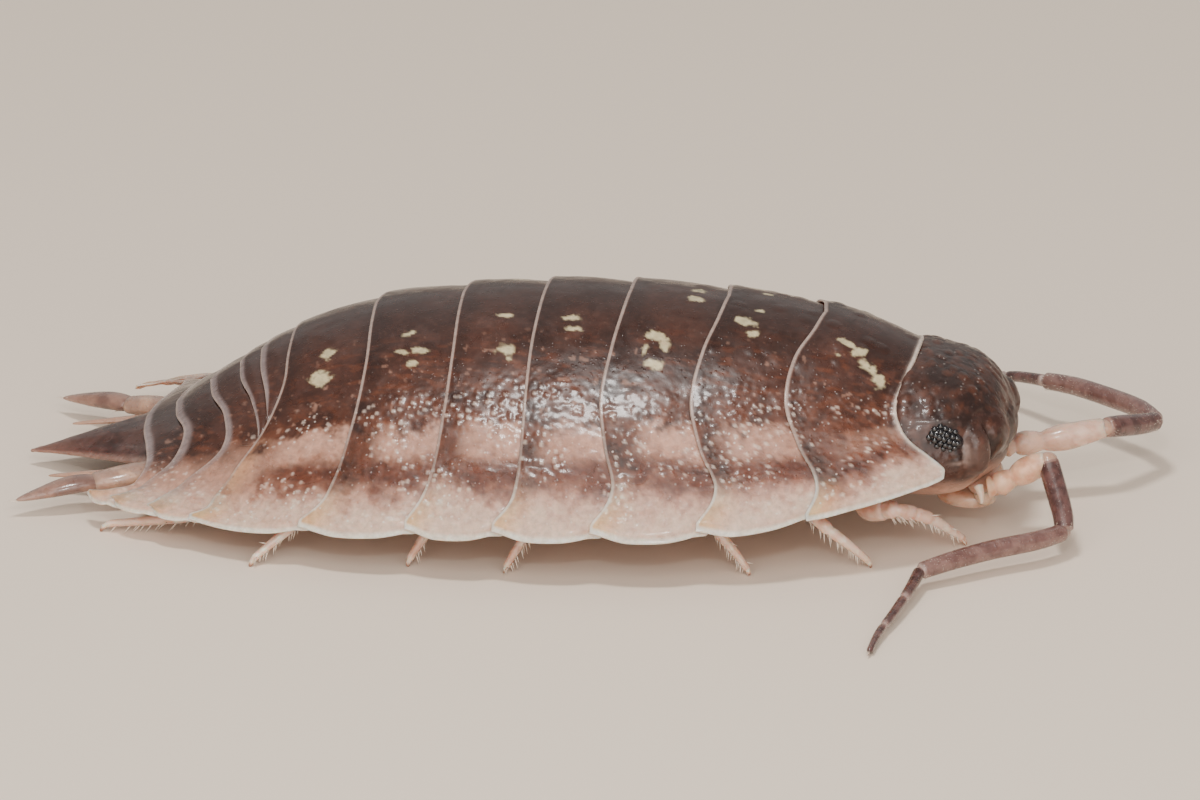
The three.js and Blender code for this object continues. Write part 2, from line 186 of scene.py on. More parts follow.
# ---------------------------------------------------------------- meshes
def mesh(name, verts, faces, material, nodes, colour=None, extra=None, smooth_shade=True, uv=None):
    """verts in millimetres of the body form; colour is one linear colour for each vertex."""
    v = (np.asarray(verts, float) + SHIFT) * MM
    me = bpy.data.meshes.new(name)
    me.from_pydata(v.tolist(), [], [tuple(int(i) for i in f) for f in faces])
    me.update()
    if smooth_shade:
        me.polygons.foreach_set("use_smooth", [True] * len(me.polygons))
    if colour is not None:
        att = me.color_attributes.new("tint", "FLOAT_COLOR", "POINT")
        c = np.ones((len(v), 4))
        c[:, :3] = colour
        att.data.foreach_set("color", c.ravel())
    for key, values in (extra or {}).items():
        att = me.attributes.new(key, "FLOAT", "POINT")
        att.data.foreach_set("value", np.asarray(values, float).ravel())
    ob = bpy.data.objects.new(name, me)
    bpy.context.scene.collection.objects.link(ob)
    me.materials.append(material)
    if uv is not None:
        layer = me.uv_layers.new(name="OFBake")
        idx = np.empty(len(me.loops), int)
        me.loops.foreach_get("vertex_index", idx)
        layer.data.foreach_set("uv", np.asarray(uv, float)[idx].ravel())
    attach(ob, "root")
    if nodes:
        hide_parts(*nodes)
    return ob


def grid_faces(nu, nv, base=0, wrap=False):
    out = []
    for i in range(nu - 1):
        for j in range(nv if wrap else nv - 1):
            a = base + i * nv + j
            b = base + i * nv + (j + 1) % nv
            out.append((a, b, b + nv, a + nv))
    return out


def normals_of(P):
    """Unit normals of a grid of points (nu, nv, 3)."""
    du = np.gradient(P, axis=0)
    dv = np.gradient(P, axis=1)
    n = np.cross(du, dv)
    n /= np.maximum(np.linalg.norm(n, axis=2, keepdims=True), 1e-12)
    return n


def shell(P, thick, up=+1):
    """A closed thin plate from a grid of points on its outer face: returns vertices, faces, and for each vertex its
    place (row, column) on the grid and its depth from 0 on the outer face to 1 on the inner face."""
    nu, nv = P.shape[:2]
    n = normals_of(P)
    if (n[nu // 2, nv // 2, 2] > 0) != (up > 0):
        n = -n
    inner = P - n * thick[..., None]
    # one step out from each border, for a rounded rim
    ring = [(0, j) for j in range(nv)] + [(i, nv - 1) for i in range(1, nu)]
    ring += [(nu - 1, j) for j in range(nv - 2, -1, -1)] + [(i, 0) for i in range(nu - 2, 0, -1)]
    verts = [P.reshape(-1, 3), inner.reshape(-1, 3)]
    where = [(i, j) for i in range(nu) for j in range(nv)]
    rows, cols = np.array([w[0] for w in where] * 2), np.array([w[1] for w in where] * 2)
    depth = np.r_[np.zeros(nu * nv), np.ones(nu * nv)]
    faces = []
    flip = np.dot(np.cross(P[1, nv // 2] - P[0, nv // 2], P[0, nv // 2 + 1] - P[0, nv // 2]), n[0, nv // 2]) < 0
    for f in grid_faces(nu, nv):
        faces.append(f if flip else f[::-1])
    for f in grid_faces(nu, nv, nu * nv):
        faces.append(f[::-1] if flip else f)
    arcs = []
    for k, (i, j) in enumerate(ring):
        ii, jj = min(max(i, 1), nu - 2), min(max(j, 1), nv - 2)
        out = P[i, j] - P[ii, jj]
        out -= n[i, j] * np.dot(out, n[i, j])
        length = np.linalg.norm(out)
        out = out / length if length > 1e-9 else out * 0
        arcs.append(out)
    arcs = np.array(arcs)
    arcs = arcs + 0.5 * (np.roll(arcs, 1, 0) + np.roll(arcs, -1, 0))
    arcs /= np.maximum(np.linalg.norm(arcs, axis=1, keepdims=True), 1e-9)
    steps = 3
    base = 2 * nu * nv
    m = len(ring)
    extra_v, er, ec, ed = [], [], [], []
    for s in range(1, steps + 1):
        a = math.pi * s / (steps + 1)
        for k, (i, j) in enumerate(ring):
            t = thick[i, j]
            mid = P[i, j] - n[i, j] * t * 0.5
            extra_v.append(mid + n[i, j] * 0.5 * t * math.cos(a) + arcs[k] * 0.5 * t * math.sin(a))
            er.append(i)
            ec.append(j)
            ed.append(s / (steps + 1))
    verts.append(np.array(extra_v))
    rows, cols = np.r_[rows, er], np.r_[cols, ec]
    depth = np.r_[depth, ed]
    top_index = [i * nv + j for i, j in ring]
    low_index = [nu * nv + i * nv + j for i, j in ring]
    layers = [top_index] + [[base + s * m + k for k in range(m)] for s in range(steps)] + [low_index]
    for a, b in zip(layers, layers[1:]):
        for k in range(m):
            q = (a[k], a[(k + 1) % m], b[(k + 1) % m], b[k])
            faces.append(q[::-1] if flip else q)
    return np.concatenate(verts), faces, rows, cols, depth


# ---------------------------------------------------------------- materials
def nodes_of(name):
    m = bpy.data.materials.new(name)
    m.use_nodes = True
    nt = m.node_tree
    nt.nodes.clear()
    out = nt.nodes.new("ShaderNodeOutputMaterial")
    bsdf = nt.nodes.new("ShaderNodeBsdfPrincipled")
    nt.links.new(bsdf.outputs[0], out.inputs["Surface"])
    return m, nt, bsdf


def tex_noise(nt, scale, detail=4.0, rough=0.55, distortion=0.0, vector=None):
    n = nt.nodes.new("ShaderNodeTexNoise")
    n.inputs["Scale"].default_value = scale
    n.inputs["Detail"].default_value = detail
    n.inputs["Roughness"].default_value = rough
    n.inputs["Distortion"].default_value = distortion
    if vector is not None:
        nt.links.new(vector, n.inputs["Vector"])
    return n


def ramp(nt, source, stops):
    r = nt.nodes.new("ShaderNodeValToRGB")
    e = r.color_ramp.elements
    while len(e) < len(stops):
        e.new(0.5)
    for k, (pos, c) in enumerate(stops):
        e[k].position = pos
        e[k].color = (*c, 1) if not isinstance(c, (int, float)) else (c, c, c, 1)
    nt.links.new(source, r.inputs["Fac"])
    return r


def mix(nt, kind, fac, a, b):
    m = nt.nodes.new("ShaderNodeMix")
    m.data_type = "RGBA"
    m.blend_type = kind
    for at, val in ((0, fac), (6, a), (7, b)):
        sock = m.inputs[at]
        if isinstance(val, (int, float)):
            sock.default_value = val if at == 0 else (val, val, val, 1)
        elif isinstance(val, tuple):
            sock.default_value = (*val, 1)
        else:
            nt.links.new(val, sock)
    return m.outputs[2]


def maths(nt, op, a, b=0.0, clamp=False):
    m = nt.nodes.new("ShaderNodeMath")
    m.operation = op
    m.use_clamp = clamp
    for k, val in enumerate((a, b)):
        if isinstance(val, (int, float)):
            m.inputs[k].default_value = val
        else:
            nt.links.new(val, m.inputs[k])
    return m.outputs[0]


def bump(nt, bsdf, layers):
    """layers: (height socket, strength, distance in millimetres)."""
    last = None
    for height, strength, distance in layers:
        b = nt.nodes.new("ShaderNodeBump")
        b.inputs["Strength"].default_value = strength
        b.inputs["Distance"].default_value = distance * MM
        nt.links.new(height, b.inputs["Height"])
        if last is not None:
            nt.links.new(last, b.inputs["Normal"])
        last = b.outputs[0]
    nt.links.new(last, bsdf.inputs["Normal"])


def body_material(name, rough=0.3, coat=0.35, sss=0.25, grain=0.5, pits=0.4, tint_noise=0.35, radius=(0.5, 0.25, 0.16), painted_glint=0.0):
    """Shell or skin whose colour comes from the painted vertex tint, broken up by fine grain. Where a vertex attribute
    is high, some of the tiny grains get a painted glint: a pale dot painted into the colour."""
    m, nt, bsdf = nodes_of(name)
    coord = nt.nodes.new("ShaderNodeTexCoord").outputs["Object"]
    att = nt.nodes.new("ShaderNodeAttribute")
    att.attribute_name = "tint"
    fine = tex_noise(nt, 9000, 5, 0.6, 0.3, coord)
    mid = tex_noise(nt, 2600, 4, 0.6, 0.8, coord)
    tone = ramp(nt, fine.outputs["Fac"], [(0.3, 1 - tint_noise), (0.7, 1.0)])
    col = mix(nt, "MULTIPLY", 1.0, att.outputs["Color"], tone.outputs["Color"])
    blotch = ramp(nt, mid.outputs["Fac"], [(0.35, (0.86, 0.8, 0.78)), (0.62, (1.0, 1.0, 1.0))])
    col = mix(nt, "MULTIPLY", 0.7, col, blotch.outputs["Color"])
    cells = nt.nodes.new("ShaderNodeTexVoronoi")
    cells.inputs["Scale"].default_value = 11000
    nt.links.new(coord, cells.inputs["Vector"])
    dot = ramp(nt, cells.outputs["Distance"], [(0.0, 1.0), (0.26, 0.0)])
    r = ramp(nt, mid.outputs["Fac"], [(0.3, max(0.05, rough - 0.08)), (0.7, rough + 0.12)])
    rough_out = r.outputs["Color"]
    # painted glints: pale dots painted into the colour on some of the tiny grains
    if painted_glint > 0:
        sp = nt.nodes.new("ShaderNodeAttribute")
        sp.attribute_name = "painted_glint"
        sep = nt.nodes.new("ShaderNodeSeparateColor")
        nt.links.new(cells.outputs["Color"], sep.inputs[0])
        some = maths(nt, "GREATER_THAN", sep.outputs[0], 0.55)
        where = maths(nt, "MULTIPLY", maths(nt, "MULTIPLY", dot.outputs["Color"], some), sp.outputs["Fac"], clamp=True)
        lit = maths(nt, "MULTIPLY", where, painted_glint, clamp=True)
        col = mix(nt, "MIX", lit, col, (0.93, 0.83, 0.76))
    nt.links.new(col, bsdf.inputs["Base Color"])
    nt.links.new(rough_out, bsdf.inputs["Roughness"])
    bsdf.inputs["Coat Weight"].default_value = coat
    bsdf.inputs["Coat Roughness"].default_value = 0.12
    bsdf.inputs["Specular IOR Level"].default_value = 0.36
    bsdf.inputs["IOR"].default_value = 1.5
    if sss > 0:
        bsdf.subsurface_method = "RANDOM_WALK"
        w = nt.nodes.new("ShaderNodeAttribute")
        w.attribute_name = "soft"
        nt.links.new(maths(nt, "MULTIPLY", w.outputs["Fac"], sss), bsdf.inputs["Subsurface Weight"])
        bsdf.inputs["Subsurface Radius"].default_value = radius
        bsdf.inputs["Subsurface Scale"].default_value = 0.6 * MM
    grainy = tex_noise(nt, 14000, 3, 0.6, 0.0, coord)
    bump(nt, bsdf, [
        (mid.outputs["Fac"], 0.3 * pits, 0.02),
        (dot.outputs["Color"], pits, 0.012),
        (grainy.outputs["Fac"], grain, 0.005),
    ])
    return m


# the last number on each material is the strength of its painted glints
shell_mat = body_material("shell", rough=0.3, coat=0.26, sss=0.7, grain=0.4, pits=0.45, painted_glint=0.8)
head_mat = body_material("head_shell", rough=0.34, coat=0.28, sss=0.2, grain=0.5, pits=0.7, painted_glint=0.3)
skin_mat = body_material("pale_skin", rough=0.28, coat=0.45, sss=0.85, grain=0.3, pits=0.25, tint_noise=0.12)
feeler_mat = body_material("feeler", rough=0.27, coat=0.7, sss=0.25, grain=0.8, pits=1.0, tint_noise=0.25, painted_glint=0.35)


def plain(name, colour, rough, coat=0.0, sss=0.0):
    m, nt, bsdf = nodes_of(name)
    coord = nt.nodes.new("ShaderNodeTexCoord").outputs["Object"]
    n = tex_noise(nt, 6000, 3, 0.5, 0.0, coord)
    r = ramp(nt, n.outputs["Fac"], [(0.3, tuple(c * 0.85 for c in colour)), (0.7, tuple(min(1, c * 1.08) for c in colour))])
    nt.links.new(r.outputs["Color"], bsdf.inputs["Base Color"])
    bsdf.inputs["Roughness"].default_value = rough
    bsdf.inputs["Coat Weight"].default_value = coat
    bsdf.inputs["Coat Roughness"].default_value = 0.05
    if sss:
        bsdf.inputs["Subsurface Weight"].default_value = sss
        bsdf.inputs["Subsurface Radius"].default_value = (0.5, 0.3, 0.2)
        bsdf.inputs["Subsurface Scale"].default_value = 0.4 * MM
    bump(nt, bsdf, [(n.outputs["Fac"], 0.2, 0.01)])
    return m


eye_mat = plain("eye_black", tuple(srgb(22, 20, 24)), 0.12, coat=1.0)
bead_mat = plain("eye_bead", tuple(srgb(18, 18, 23)), 0.06, coat=1.0)
bristle_mat = plain("bristle", tuple(srgb(238, 220, 200)), 0.3, coat=0.2, sss=0.2)

# ---------------------------------------------------------------- colours
DARK = srgb(80, 50, 41)
DARKER = srgb(48, 31, 27)
RUST = srgb(124, 72, 50)
LILAC = srgb(110, 82, 76)
PALE = srgb(234, 194, 175)
PALE2 = srgb(212, 164, 142)
PEACH = srgb(248, 178, 118)
PALE_RIM_AND_GLINT = srgb(255, 234, 219)
# pale margin colour, also used for painted highlights on granule tips
BORDER = srgb(198, 174, 163)
CREAM = srgb(232, 218, 174)


def blend(a, b, w):
    w = np.clip(w, 0, 1)[..., None]
    return a * (1 - w) + b * w


# Cream spots on the back: X, share of the half width, half length along X, half width across (mm), turn in degrees.
SPOTS = {
    "pereonite_1": [(4.42, 0.25, 0.16, 0.06, 20), (4.6, 0.29, 0.14, 0.07, -30), (4.72, 0.36, 0.1, 0.08, 30), (4.95, 0.44, 0.12, 0.1, 0), (4.85, 0.37, 0.06, 0.12, 0), (4.3, 0.34, 0.07, 0.05, 0)],
    "pereonite_2": [(2.82, 0.2, 0.17, 0.1, 10), (2.98, 0.27, 0.1, 0.06, -30), (3.0, 0.1, 0.08, 0.05, 0)],
    "pereonite_3": [(1.5, 0.32, 0.14, 0.08, 0), (1.68, 0.36, 0.07, 0.12, 0), (1.56, 0.45, 0.15, 0.08, 0), (1.38, 0.39, 0.05, 0.1, 0), (1.97, 0.04, 0.13, 0.1, 0)],
    "pereonite_4": [(0.18, 0.23, 0.15, 0.06, 0), (0.24, 0.29, 0.17, 0.06, 5)],
    "pereonite_5": [(-0.9, 0.2, 0.16, 0.05, 0), (-0.82, 0.39, 0.16, 0.1, 15), (-0.7, 0.43, 0.07, 0.07, 0)],
    "pereonite_6": [(-2.33, 0.27, 0.13, 0.06, -20), (-2.12, 0.36, 0.13, 0.07, 15), (-2.4, 0.37, 0.1, 0.05, 10), (-2.2, 0.43, 0.07, 0.06, 0)],
    "pereonite_7": [(-3.6, 0.29, 0.13, 0.14, 0), (-3.63, 0.42, 0.17, 0.16, 10)],
}


def plate_colour(name, P, x, s, side, t, depth, dome, tag):
    """Paints one back plate. t runs from 0 at its visible front edge to 1 at its rear edge."""
    n1 = fbm(P, 1.3, 4, 1)
    n2 = fbm(P, 4.0, 4, 5)
    n3 = fbm(P * np.array([1.0, 3.0, 3.0]), 4.5, 4, 9)  # streaks along the body
    n4 = fbm(P, 14, 3, 13)
    tail = name.startswith("pleonite")
    hw = half_width(x)
    col = blend(DARK, DARKER, smooth(0.42, 0.68, n1) * 0.6)
    col = blend(col, RUST, smooth(0.5, 0.72, n3) * 0.5 * smooth(0.15, 0.5, s))
    col = blend(col, LILAC, 0.22 * smooth(0.55, 0.75, n2))
    # darker toward the crown, and a painted shade in a soft bar just in front of the rear border, where the edge
    # overlaps the next plate
    col = blend(col, DARKER, 0.5 * (1 - smooth(0.0, 0.38, s)))
    col = blend(col, DARKER, 0.5 * smooth(0.74, 0.92, t) * (1 - smooth(0.95, 0.97, t)))
    # warm light showing through the shell low on the flanks
    col = blend(col, RUST, 0.45 * smooth(0.45, 0.66, s) * smooth(0.35, 0.6, n2))
    if tail:
        col = blend(col, PALE2 * 0.9, 0.85 * smooth(0.56, 0.74, s + 0.07 * (n2 - 0.5)))
        col = blend(col, PALE, 0.9 * smooth(0.72, 0.92, s))
        col = blend(col, PEACH, 0.8 * smooth(0.84, 0.98, s) * smooth(0.5, 0.95, t))
    else:
        first = {"pereonite_1": 0.06, "pereonite_7": -0.02}.get(name, 0.0)
        a = s + 0.035 * (n1 - 0.5) + 0.05 * (n2 - 0.5) - first
        # a pale band where the side plate joins the back, a dark patch below it, and the milky plate out to the rim
        if name == "pereonite_1":
            # the first side plate is clear below a line that rises toward its front corner
            a = a + 0.09 * smooth(4.5, 5.5, x)
        ahead = 1 - smooth(0.5, 0.84, t + 0.3 * (n2 - 0.5) + 0.35 * (n1 - 0.5))
        wob = 0.055 * (n2 - 0.5) + 0.05 * (n4 - 0.5)
        band = smooth(0.665, 0.715, a + wob) * (1 - smooth(0.765, 0.825, a - wob)) * ahead
        if name == "pereonite_7":
            # the last plate is paler behind, where its side lobe sweeps back
            behind = smooth(0.66, 0.76, a + wob) * (1 - ahead)
            col = blend(col, PALE2, 0.75 * behind)
            col = blend(col, PEACH, 0.35 * behind * smooth(0.7, 0.95, t))
        if name == "pereonite_1":
            band = band * 0.35
        col = blend(col, PALE2, band * (0.6 + 0.6 * n1))
        plate = smooth(0.81, 0.94, a + wob)
        col = blend(col, PALE2, plate * 0.8)
        col = blend(col, PALE, smooth(0.86, 0.96, a) * 0.95)
        patch = smooth(0.77, 0.815, a + wob) * (1 - smooth(0.835, 0.915, a + wob)) * (0.12 + 0.88 * ahead)
        patch = patch * {"pereonite_1": 0.4, "pereonite_6": 0.8, "pereonite_7": 0.75}.get(name, 1.0)
        if name == "pereonite_7":
            patch = patch * (0.25 + 0.75 * smooth(-5.2, -4.2, x))
        col = blend(col, blend(DARK * np.ones_like(col), RUST, 0.8 * n3), 0.72 * patch)
        # brown speckles thinning out down the side plate
        speck = smooth(0.54, 0.66, fbm(P, 11, 2, 23)) * smooth(0.7, 0.8, a) * (1 - smooth(0.9, 0.97, a))
        col = blend(col, RUST, 0.38 * speck)
        col = blend(col, PEACH, 0.85 * smooth(0.86, 1.0, s) * smooth(0.66, 1.0, t))
    # cream muscle spots, the same on both sides, a little ragged
    for sx, ss, lx, ly, turn in SPOTS.get(name, []):
        for flip in (1, -1):
            jitter = 0.03 if flip > 0 else 0.0
            dx = x - (sx + jitter)
            dy = (s * side - flip * (ss + jitter * 0.3)) * hw * 1.08
            c, sn = math.cos(math.radians(turn * flip)), math.sin(math.radians(turn * flip))
            u, v = (dx * c + dy * sn) / lx, (-dx * sn + dy * c) / ly
            d = np.sqrt(u * u + v * v) + 1.5 * (n4 - 0.5) + 1.0 * (n2 - 0.5)
            col = blend(col, CREAM, (1 - smooth(0.62, 1.15, d)) * 0.88)
    # small pale flecks on the shoulder, and painted highlights on the tips of some of the granules
    fleck = smooth(0.75, 0.83, fbm(P, 9, 2, 21)) * smooth(0.15, 0.5, s) * (1 - smooth(0.6, 0.75, s))
    col = blend(col, PALE2, 0.35 * fleck)
    col = blend(col, PALE_RIM_AND_GLINT, 0.5 * smooth(0.35, 0.9, dome) * (tag < 0.45) * smooth(0.5, 0.62, s))
    # thin pale borders
    if tail:
        col = blend(col, srgb(166, 148, 146), 0.8 * smooth(0.74, 0.9, t) * (1 - 0.6 * smooth(0.55, 0.75, s)))
        col = blend(col, BORDER, 0.6 * smooth(0.955, 0.985, t))
    else:
        col = blend(col, BORDER, 0.8 * smooth(0.97, 0.985, t) * (1 - 0.35 * smooth(0.6, 0.8, s)))
    # pale lines along the first plate's front edge, along the rim and at the rear corners of the side plates: a pale
    # margin, partly a painted highlight
    if name == "pereonite_1":
        col = blend(col, PALE_RIM_AND_GLINT * 0.9, 0.8 * (1 - smooth(0.012, 0.024, t)))
    col = blend(col, PALE_RIM_AND_GLINT, 0.95 * smooth(0.988, 0.995, s))
    col = blend(col, PALE_RIM_AND_GLINT, 0.7 * smooth(0.975, 0.99, t) * smooth(0.84, 0.95, s))
    # the inner face is paler
    inner = smooth(0.5, 0.95, depth)
    col = blend(col, PALE2 * 0.9, 0.75 * inner)
    return np.clip(col, 0, 1)


# ---------------------------------------------------------------- the back plates
def plate(name, front, nu=52, nv=281, tuck=0.34):
    """One arched back plate: its front slides under the plate ahead, its rear edge stands proud of the next."""
    v = np.linspace(-1, 1, nv)
    # closer columns near the rims
    v = np.sign(v) * (1 - (1 - np.abs(v)) ** 1.2)
    reach = REACH.get(name, 1.0)
    tail = name.startswith("pleonite")
    s = np.abs(v) * reach
    side = np.sign(v)
    xv = margin(front, s)
    if name in ("pleonite_1", "pleonite_2", "pleonite_3"):
        xv = np.minimum(xv, margin("pereonite_7", s))
    xr = margin(name, s)
    first = name == "pereonite_1"
    if first:
        # its front corner is blunt
        xv = xv + 0.15 * smooth(0.7, 0.9, s) - 0.34 * np.clip((s - 0.9) / 0.1, 0, 1) ** 2
    tuck_v = 0.0 * s if first else tuck * (1 - 0.45 * smooth(0.86, 1.0, s))
    xf = np.maximum(xv + tuck_v, xr + 0.1)
    # the rear corner is rounded off slightly
    xr = xr + (0 if reach < 1 else 0.05 * smooth(0.985, 1.0, s))
    u = np.linspace(0, 1, nu)
    u = 1 - (1 - u) ** 1.25  # closer rows near the rear edge
    X = lerp(xf[None, :], xr[None, :], u[:, None])
    visible = np.maximum(xv - xr, 0.08)[None, :]
    T = np.maximum((xv[None, :] - X) / visible, -1.2)  # 0 at the visible front, 1 at the rear
    Tc = np.clip(T, 0, 1)
    S = np.repeat(s[None, :], nu, 0)
    lip = 0.06 if first else 0.065 if tail else LIP
    under = -0.055 + 0.055 * np.exp(np.minimum(T, 0) * 7) + 0.015 * np.maximum(T, -1)
    proud = np.where(T < 0, under, lip * (0.3 * Tc + 0.7 * Tc**2.2))
    # a shallow swelling along the middle of the plate
    proud = proud + 0.03 * np.sin(np.pi * Tc) * (1 - smooth(0.75, 1, S))
    if first:
        proud = proud + 0.03 * np.exp(-((T / 0.025) ** 2)) + 0.012 - 0.02 * np.exp(-(((T - 0.11) / 0.03) ** 2)) * smooth(0.3, 0.5, S)
    edge = 1 - smooth(0.85, 1, S) * 0.5
    Z = back_at(X, S) + proud * edge
    rim = smooth(0.8, 1.0, S)
    front_in = 0 * X if first else 1 - smooth(-0.3, 0.26, T)
    tip = smooth(0.62, 1.0, T)
    sag = np.sin(np.pi * np.clip(T * 0.95 + 0.02, 0, 1))
    # the rim bows out and down between the corner tucked under the plate ahead and its own raised rear tip
    raised = {"pereonite_1": -0.05, "pereonite_6": 0.05, "pereonite_7": 0.0}.get(name, 0.0 if tail else 0.07)
    if tail:
        wide = 1 + rim * (0.006 * sag - 0.02 * front_in - 0.05 * smooth(0.5, 1.0, T) ** 2)
    else:
        wide = 1 + rim * (0.012 * sag - 0.042 * front_in - 0.01 * tip)
    if reach == 1:
        amount = 0.35 if tail else 1.0
        Z = Z - 0.055 * np.exp(-(((S - 0.8) / 0.07) ** 2)) * (0.6 + 0.4 * Tc)
        Z = Z + 0.035 * smooth(0.9, 0.985, S) - 0.05 * smooth(0.98, 1.0, S)
        Z = Z - 0.1 * rim + rim * amount * (-0.045 * sag + 0.02 * front_in) + rim * raised * tip
    else:
        Z = Z - 0.05 * smooth(0.5, 0.66, S)
    Y = side[None, :] * S * half_width(X) * wide
    P = np.stack([X, Y, Z], -1)
    arc = np.concatenate([np.zeros((nu, 1)), np.cumsum(np.linalg.norm(np.diff(P, axis=1), axis=2), 1)], 1)
    arc = arc - arc[:, nv // 2 : nv // 2 + 1]
    # low relief: slow dents, faint wrinkles low on the flank, granules from the shoulder outward
    N = normals_of(P)
    N = N * np.sign(N[nu // 2, nv // 2, 2])
    relief = 0.026 * (fbm(P, 1.3, 2, 31) - 0.5) + 0.007 * (fbm(P, 5, 2, 33) - 0.5)
    wrinkle = 0.01 * (fbm(P * np.array([0.7, 2.0, 2.0]), 4.5, 2, 35) - 0.5) * smooth(0.45, 0.65, S)
    dome, tag = granules(X, arc, 0.13, 0.052, 3)
    patchy = 0.35 + 0.65 * smooth(0.4, 0.6, fbm(P, 1.6, 2, 39))
    amount = smooth(0.4, 0.62, S) * (1 - smooth(0.95, 0.985, S)) * patchy
    low, low_tag = granules(X, arc, 0.34, 0.13, 9, 0.5)
    knobs = {"pereonite_1": 0.8, "pereonite_2": 0.5, "pereonite_3": 0.3}.get(name, 0.1) * (1 - smooth(0.35, 0.55, S))
    calm = (1 - smooth(0.965, 1.0, S)) * (1 - 0.9 * smooth(0.93, 0.99, T))
    P = P + N * ((relief + wrinkle + 0.011 * dome * amount + 0.022 * low * knobs) * calm)[..., None]
    thick = lerp(0.07, 0.04, smooth(0.6, 1, S)) * (1 - 0.45 * smooth(0.86, 1.0, Tc))
    verts, faces, rows, cols, depth = shell(P, np.maximum(thick, 0.03))
    xx, ss, tt = X[rows, cols], S[rows, cols], T[rows, cols]
    colour = plate_colour(name, P[rows, cols], xx, ss, side[cols], tt, depth, (dome * amount)[rows, cols], tag[rows, cols])
    soft = smooth(0.62, 0.9, ss) * 0.9 + 0.1
    # where the granules get painted glints: from the shoulder outward, short of the rim, weaker on the tail
    painted_glint = smooth(0.5, 0.64, ss) * (1 - smooth(0.97, 0.99, ss)) * patchy[rows, cols] * (0.5 if tail else 1.0)
    return mesh(name + "_plate", verts, faces, shell_mat, [name], colour, {"soft": soft, "painted_glint": painted_glint})


for k in range(1, len(ORDER)):
    plate(ORDER[k], ORDER[k - 1], nu=30 if ORDER[k].startswith("pleonite") else 60, nv=221 if ORDER[k].startswith("pleonite") else 321)

# ---------------------------------------------------------------- round limbs and small parts
def path(points, per=10):
    """A smooth path through points."""
    P = np.array(points, float)
    n = len(P)
    out = []
    for i in range(n - 1):
        a, b = P[max(i - 1, 0)], P[min(i + 2, n - 1)]
        p, q = P[i], P[i + 1]
        m0, m1 = (q - a) / 2, (b - p) / 2
        for k in range(per):
            t = k / per
            t2, t3 = t * t, t**3
            out.append((2 * t3 - 3 * t2 + 1) * p + (t3 - 2 * t2 + t) * m0 + (-2 * t3 + 3 * t2) * q + (t3 - t2) * m1)
    out.append(P[-1])
    return np.array(out)


def tube(C, R, sides=20, flat=None, ref=(0, 0, 1)):
    """A closed tube along centres C with radii R (n,). flat squeezes it along its second axis."""
    C, R = np.asarray(C, float), np.asarray(R, float)
    n = len(C)
    T = np.gradient(C, axis=0)
    T /= np.maximum(np.linalg.norm(T, axis=1, keepdims=True), 1e-9)
    e = np.array(ref, float)
    if abs(np.dot(e, T[0])) > 0.9:
        e = np.array([1.0, 0, 0])
    verts, faces = [], []
    flat = np.ones(n) if flat is None else np.asarray(flat, float) * np.ones(n)
    A = np.linspace(0, 2 * np.pi, sides, endpoint=False)
    for i in range(n):
        e = e - T[i] * np.dot(e, T[i])
        e /= max(np.linalg.norm(e), 1e-9)
        f = np.cross(T[i], e)
        verts.append(C[i] + R[i] * (np.cos(A)[:, None] * e * flat[i] + np.sin(A)[:, None] * f))
    verts = np.concatenate(verts)
    faces = [f[::-1] for f in grid_faces(n, sides, wrap=True)]
    faces = [f[::-1] for f in faces]
    k = len(verts)
    verts = np.vstack([verts, C[0], C[-1]])
    for j in range(sides):
        faces.append((k, (j + 1) % sides, j))
        faces.append((k + 1, (n - 1) * sides + j, (n - 1) * sides + (j + 1) % sides))
    along = np.r_[np.repeat(np.linspace(0, 1, n), sides), 0, 1]
    return verts, faces, along


def ball(at, half, wide=24, high=14, turn=None):
    th = np.linspace(0, np.pi, high)
    ph = np.linspace(0, 2 * np.pi, wide, endpoint=False)
    v = [[0, 0, 1.0]]
    for a in th[1:-1]:
        for b in ph:
            v.append([math.sin(a) * math.cos(b), math.sin(a) * math.sin(b), math.cos(a)])
    v.append([0, 0, -1.0])
    v = np.array(v) * np.array(half)
    if turn is not None:
        v = v @ np.array(turn).T
    v = v + np.array(at)
    f = [(0, 1 + j, 1 + (j + 1) % wide) for j in range(wide)]
    for i in range(high - 3):
        for j in range(wide):
            a = 1 + i * wide + j
            b = 1 + i * wide + (j + 1) % wide
            f.append((a, a + wide, b + wide, b))
    last = len(v) - 1
    base = 1 + (high - 3) * wide
    f += [(last, base + (j + 1) % wide, base + j) for j in range(wide)]
    return v, f


def spine(at, direction, length, radius, sides=6):
    d = np.array(direction, float)
    d /= np.linalg.norm(d)
    C = np.array([np.array(at) + d * length * t for t in (0, 0.35, 0.7, 1.0)])
    v, f, a = tube(C, np.array([1.0, 0.8, 0.45, 0.06]) * radius, sides)
    return v, f


class Join:
    """Collects closed bodies into one mesh."""

    def __init__(self):
        self.v, self.f, self.c, self.s, self.n = [], [], [], [], 0

    def add(self, v, f, colour, soft=1.0):
        v = np.asarray(v, float)
        self.v.append(v)
        self.f += [tuple(int(i) + self.n for i in q) for q in f]
        self.c.append(np.asarray(colour, float) * np.ones((len(v), 3)))
        self.s.append(np.asarray(soft, float) * np.ones(len(v)))
        self.n += len(v)

    def make(self, name, material, nodes, slot):
        return mesh(name, np.concatenate(self.v), self.f, material, nodes, np.clip(np.concatenate(self.c), 0, 1), {"soft": np.concatenate(self.s)})


def turn_z(deg):
    c, s = math.cos(math.radians(deg)), math.sin(math.radians(deg))
    return [[c, -s, 0], [s, c, 0], [0, 0, 1]]


# ---------------------------------------------------------------- head
HEAD_AT = np.array([5.6, 0, 1.55])
HEAD_HALF = (1.28, 1.62, 1.2, 0.86)
HEAD_POWER = 2.3
EYE_AT = np.array([6.02, 1.38, 1.93])


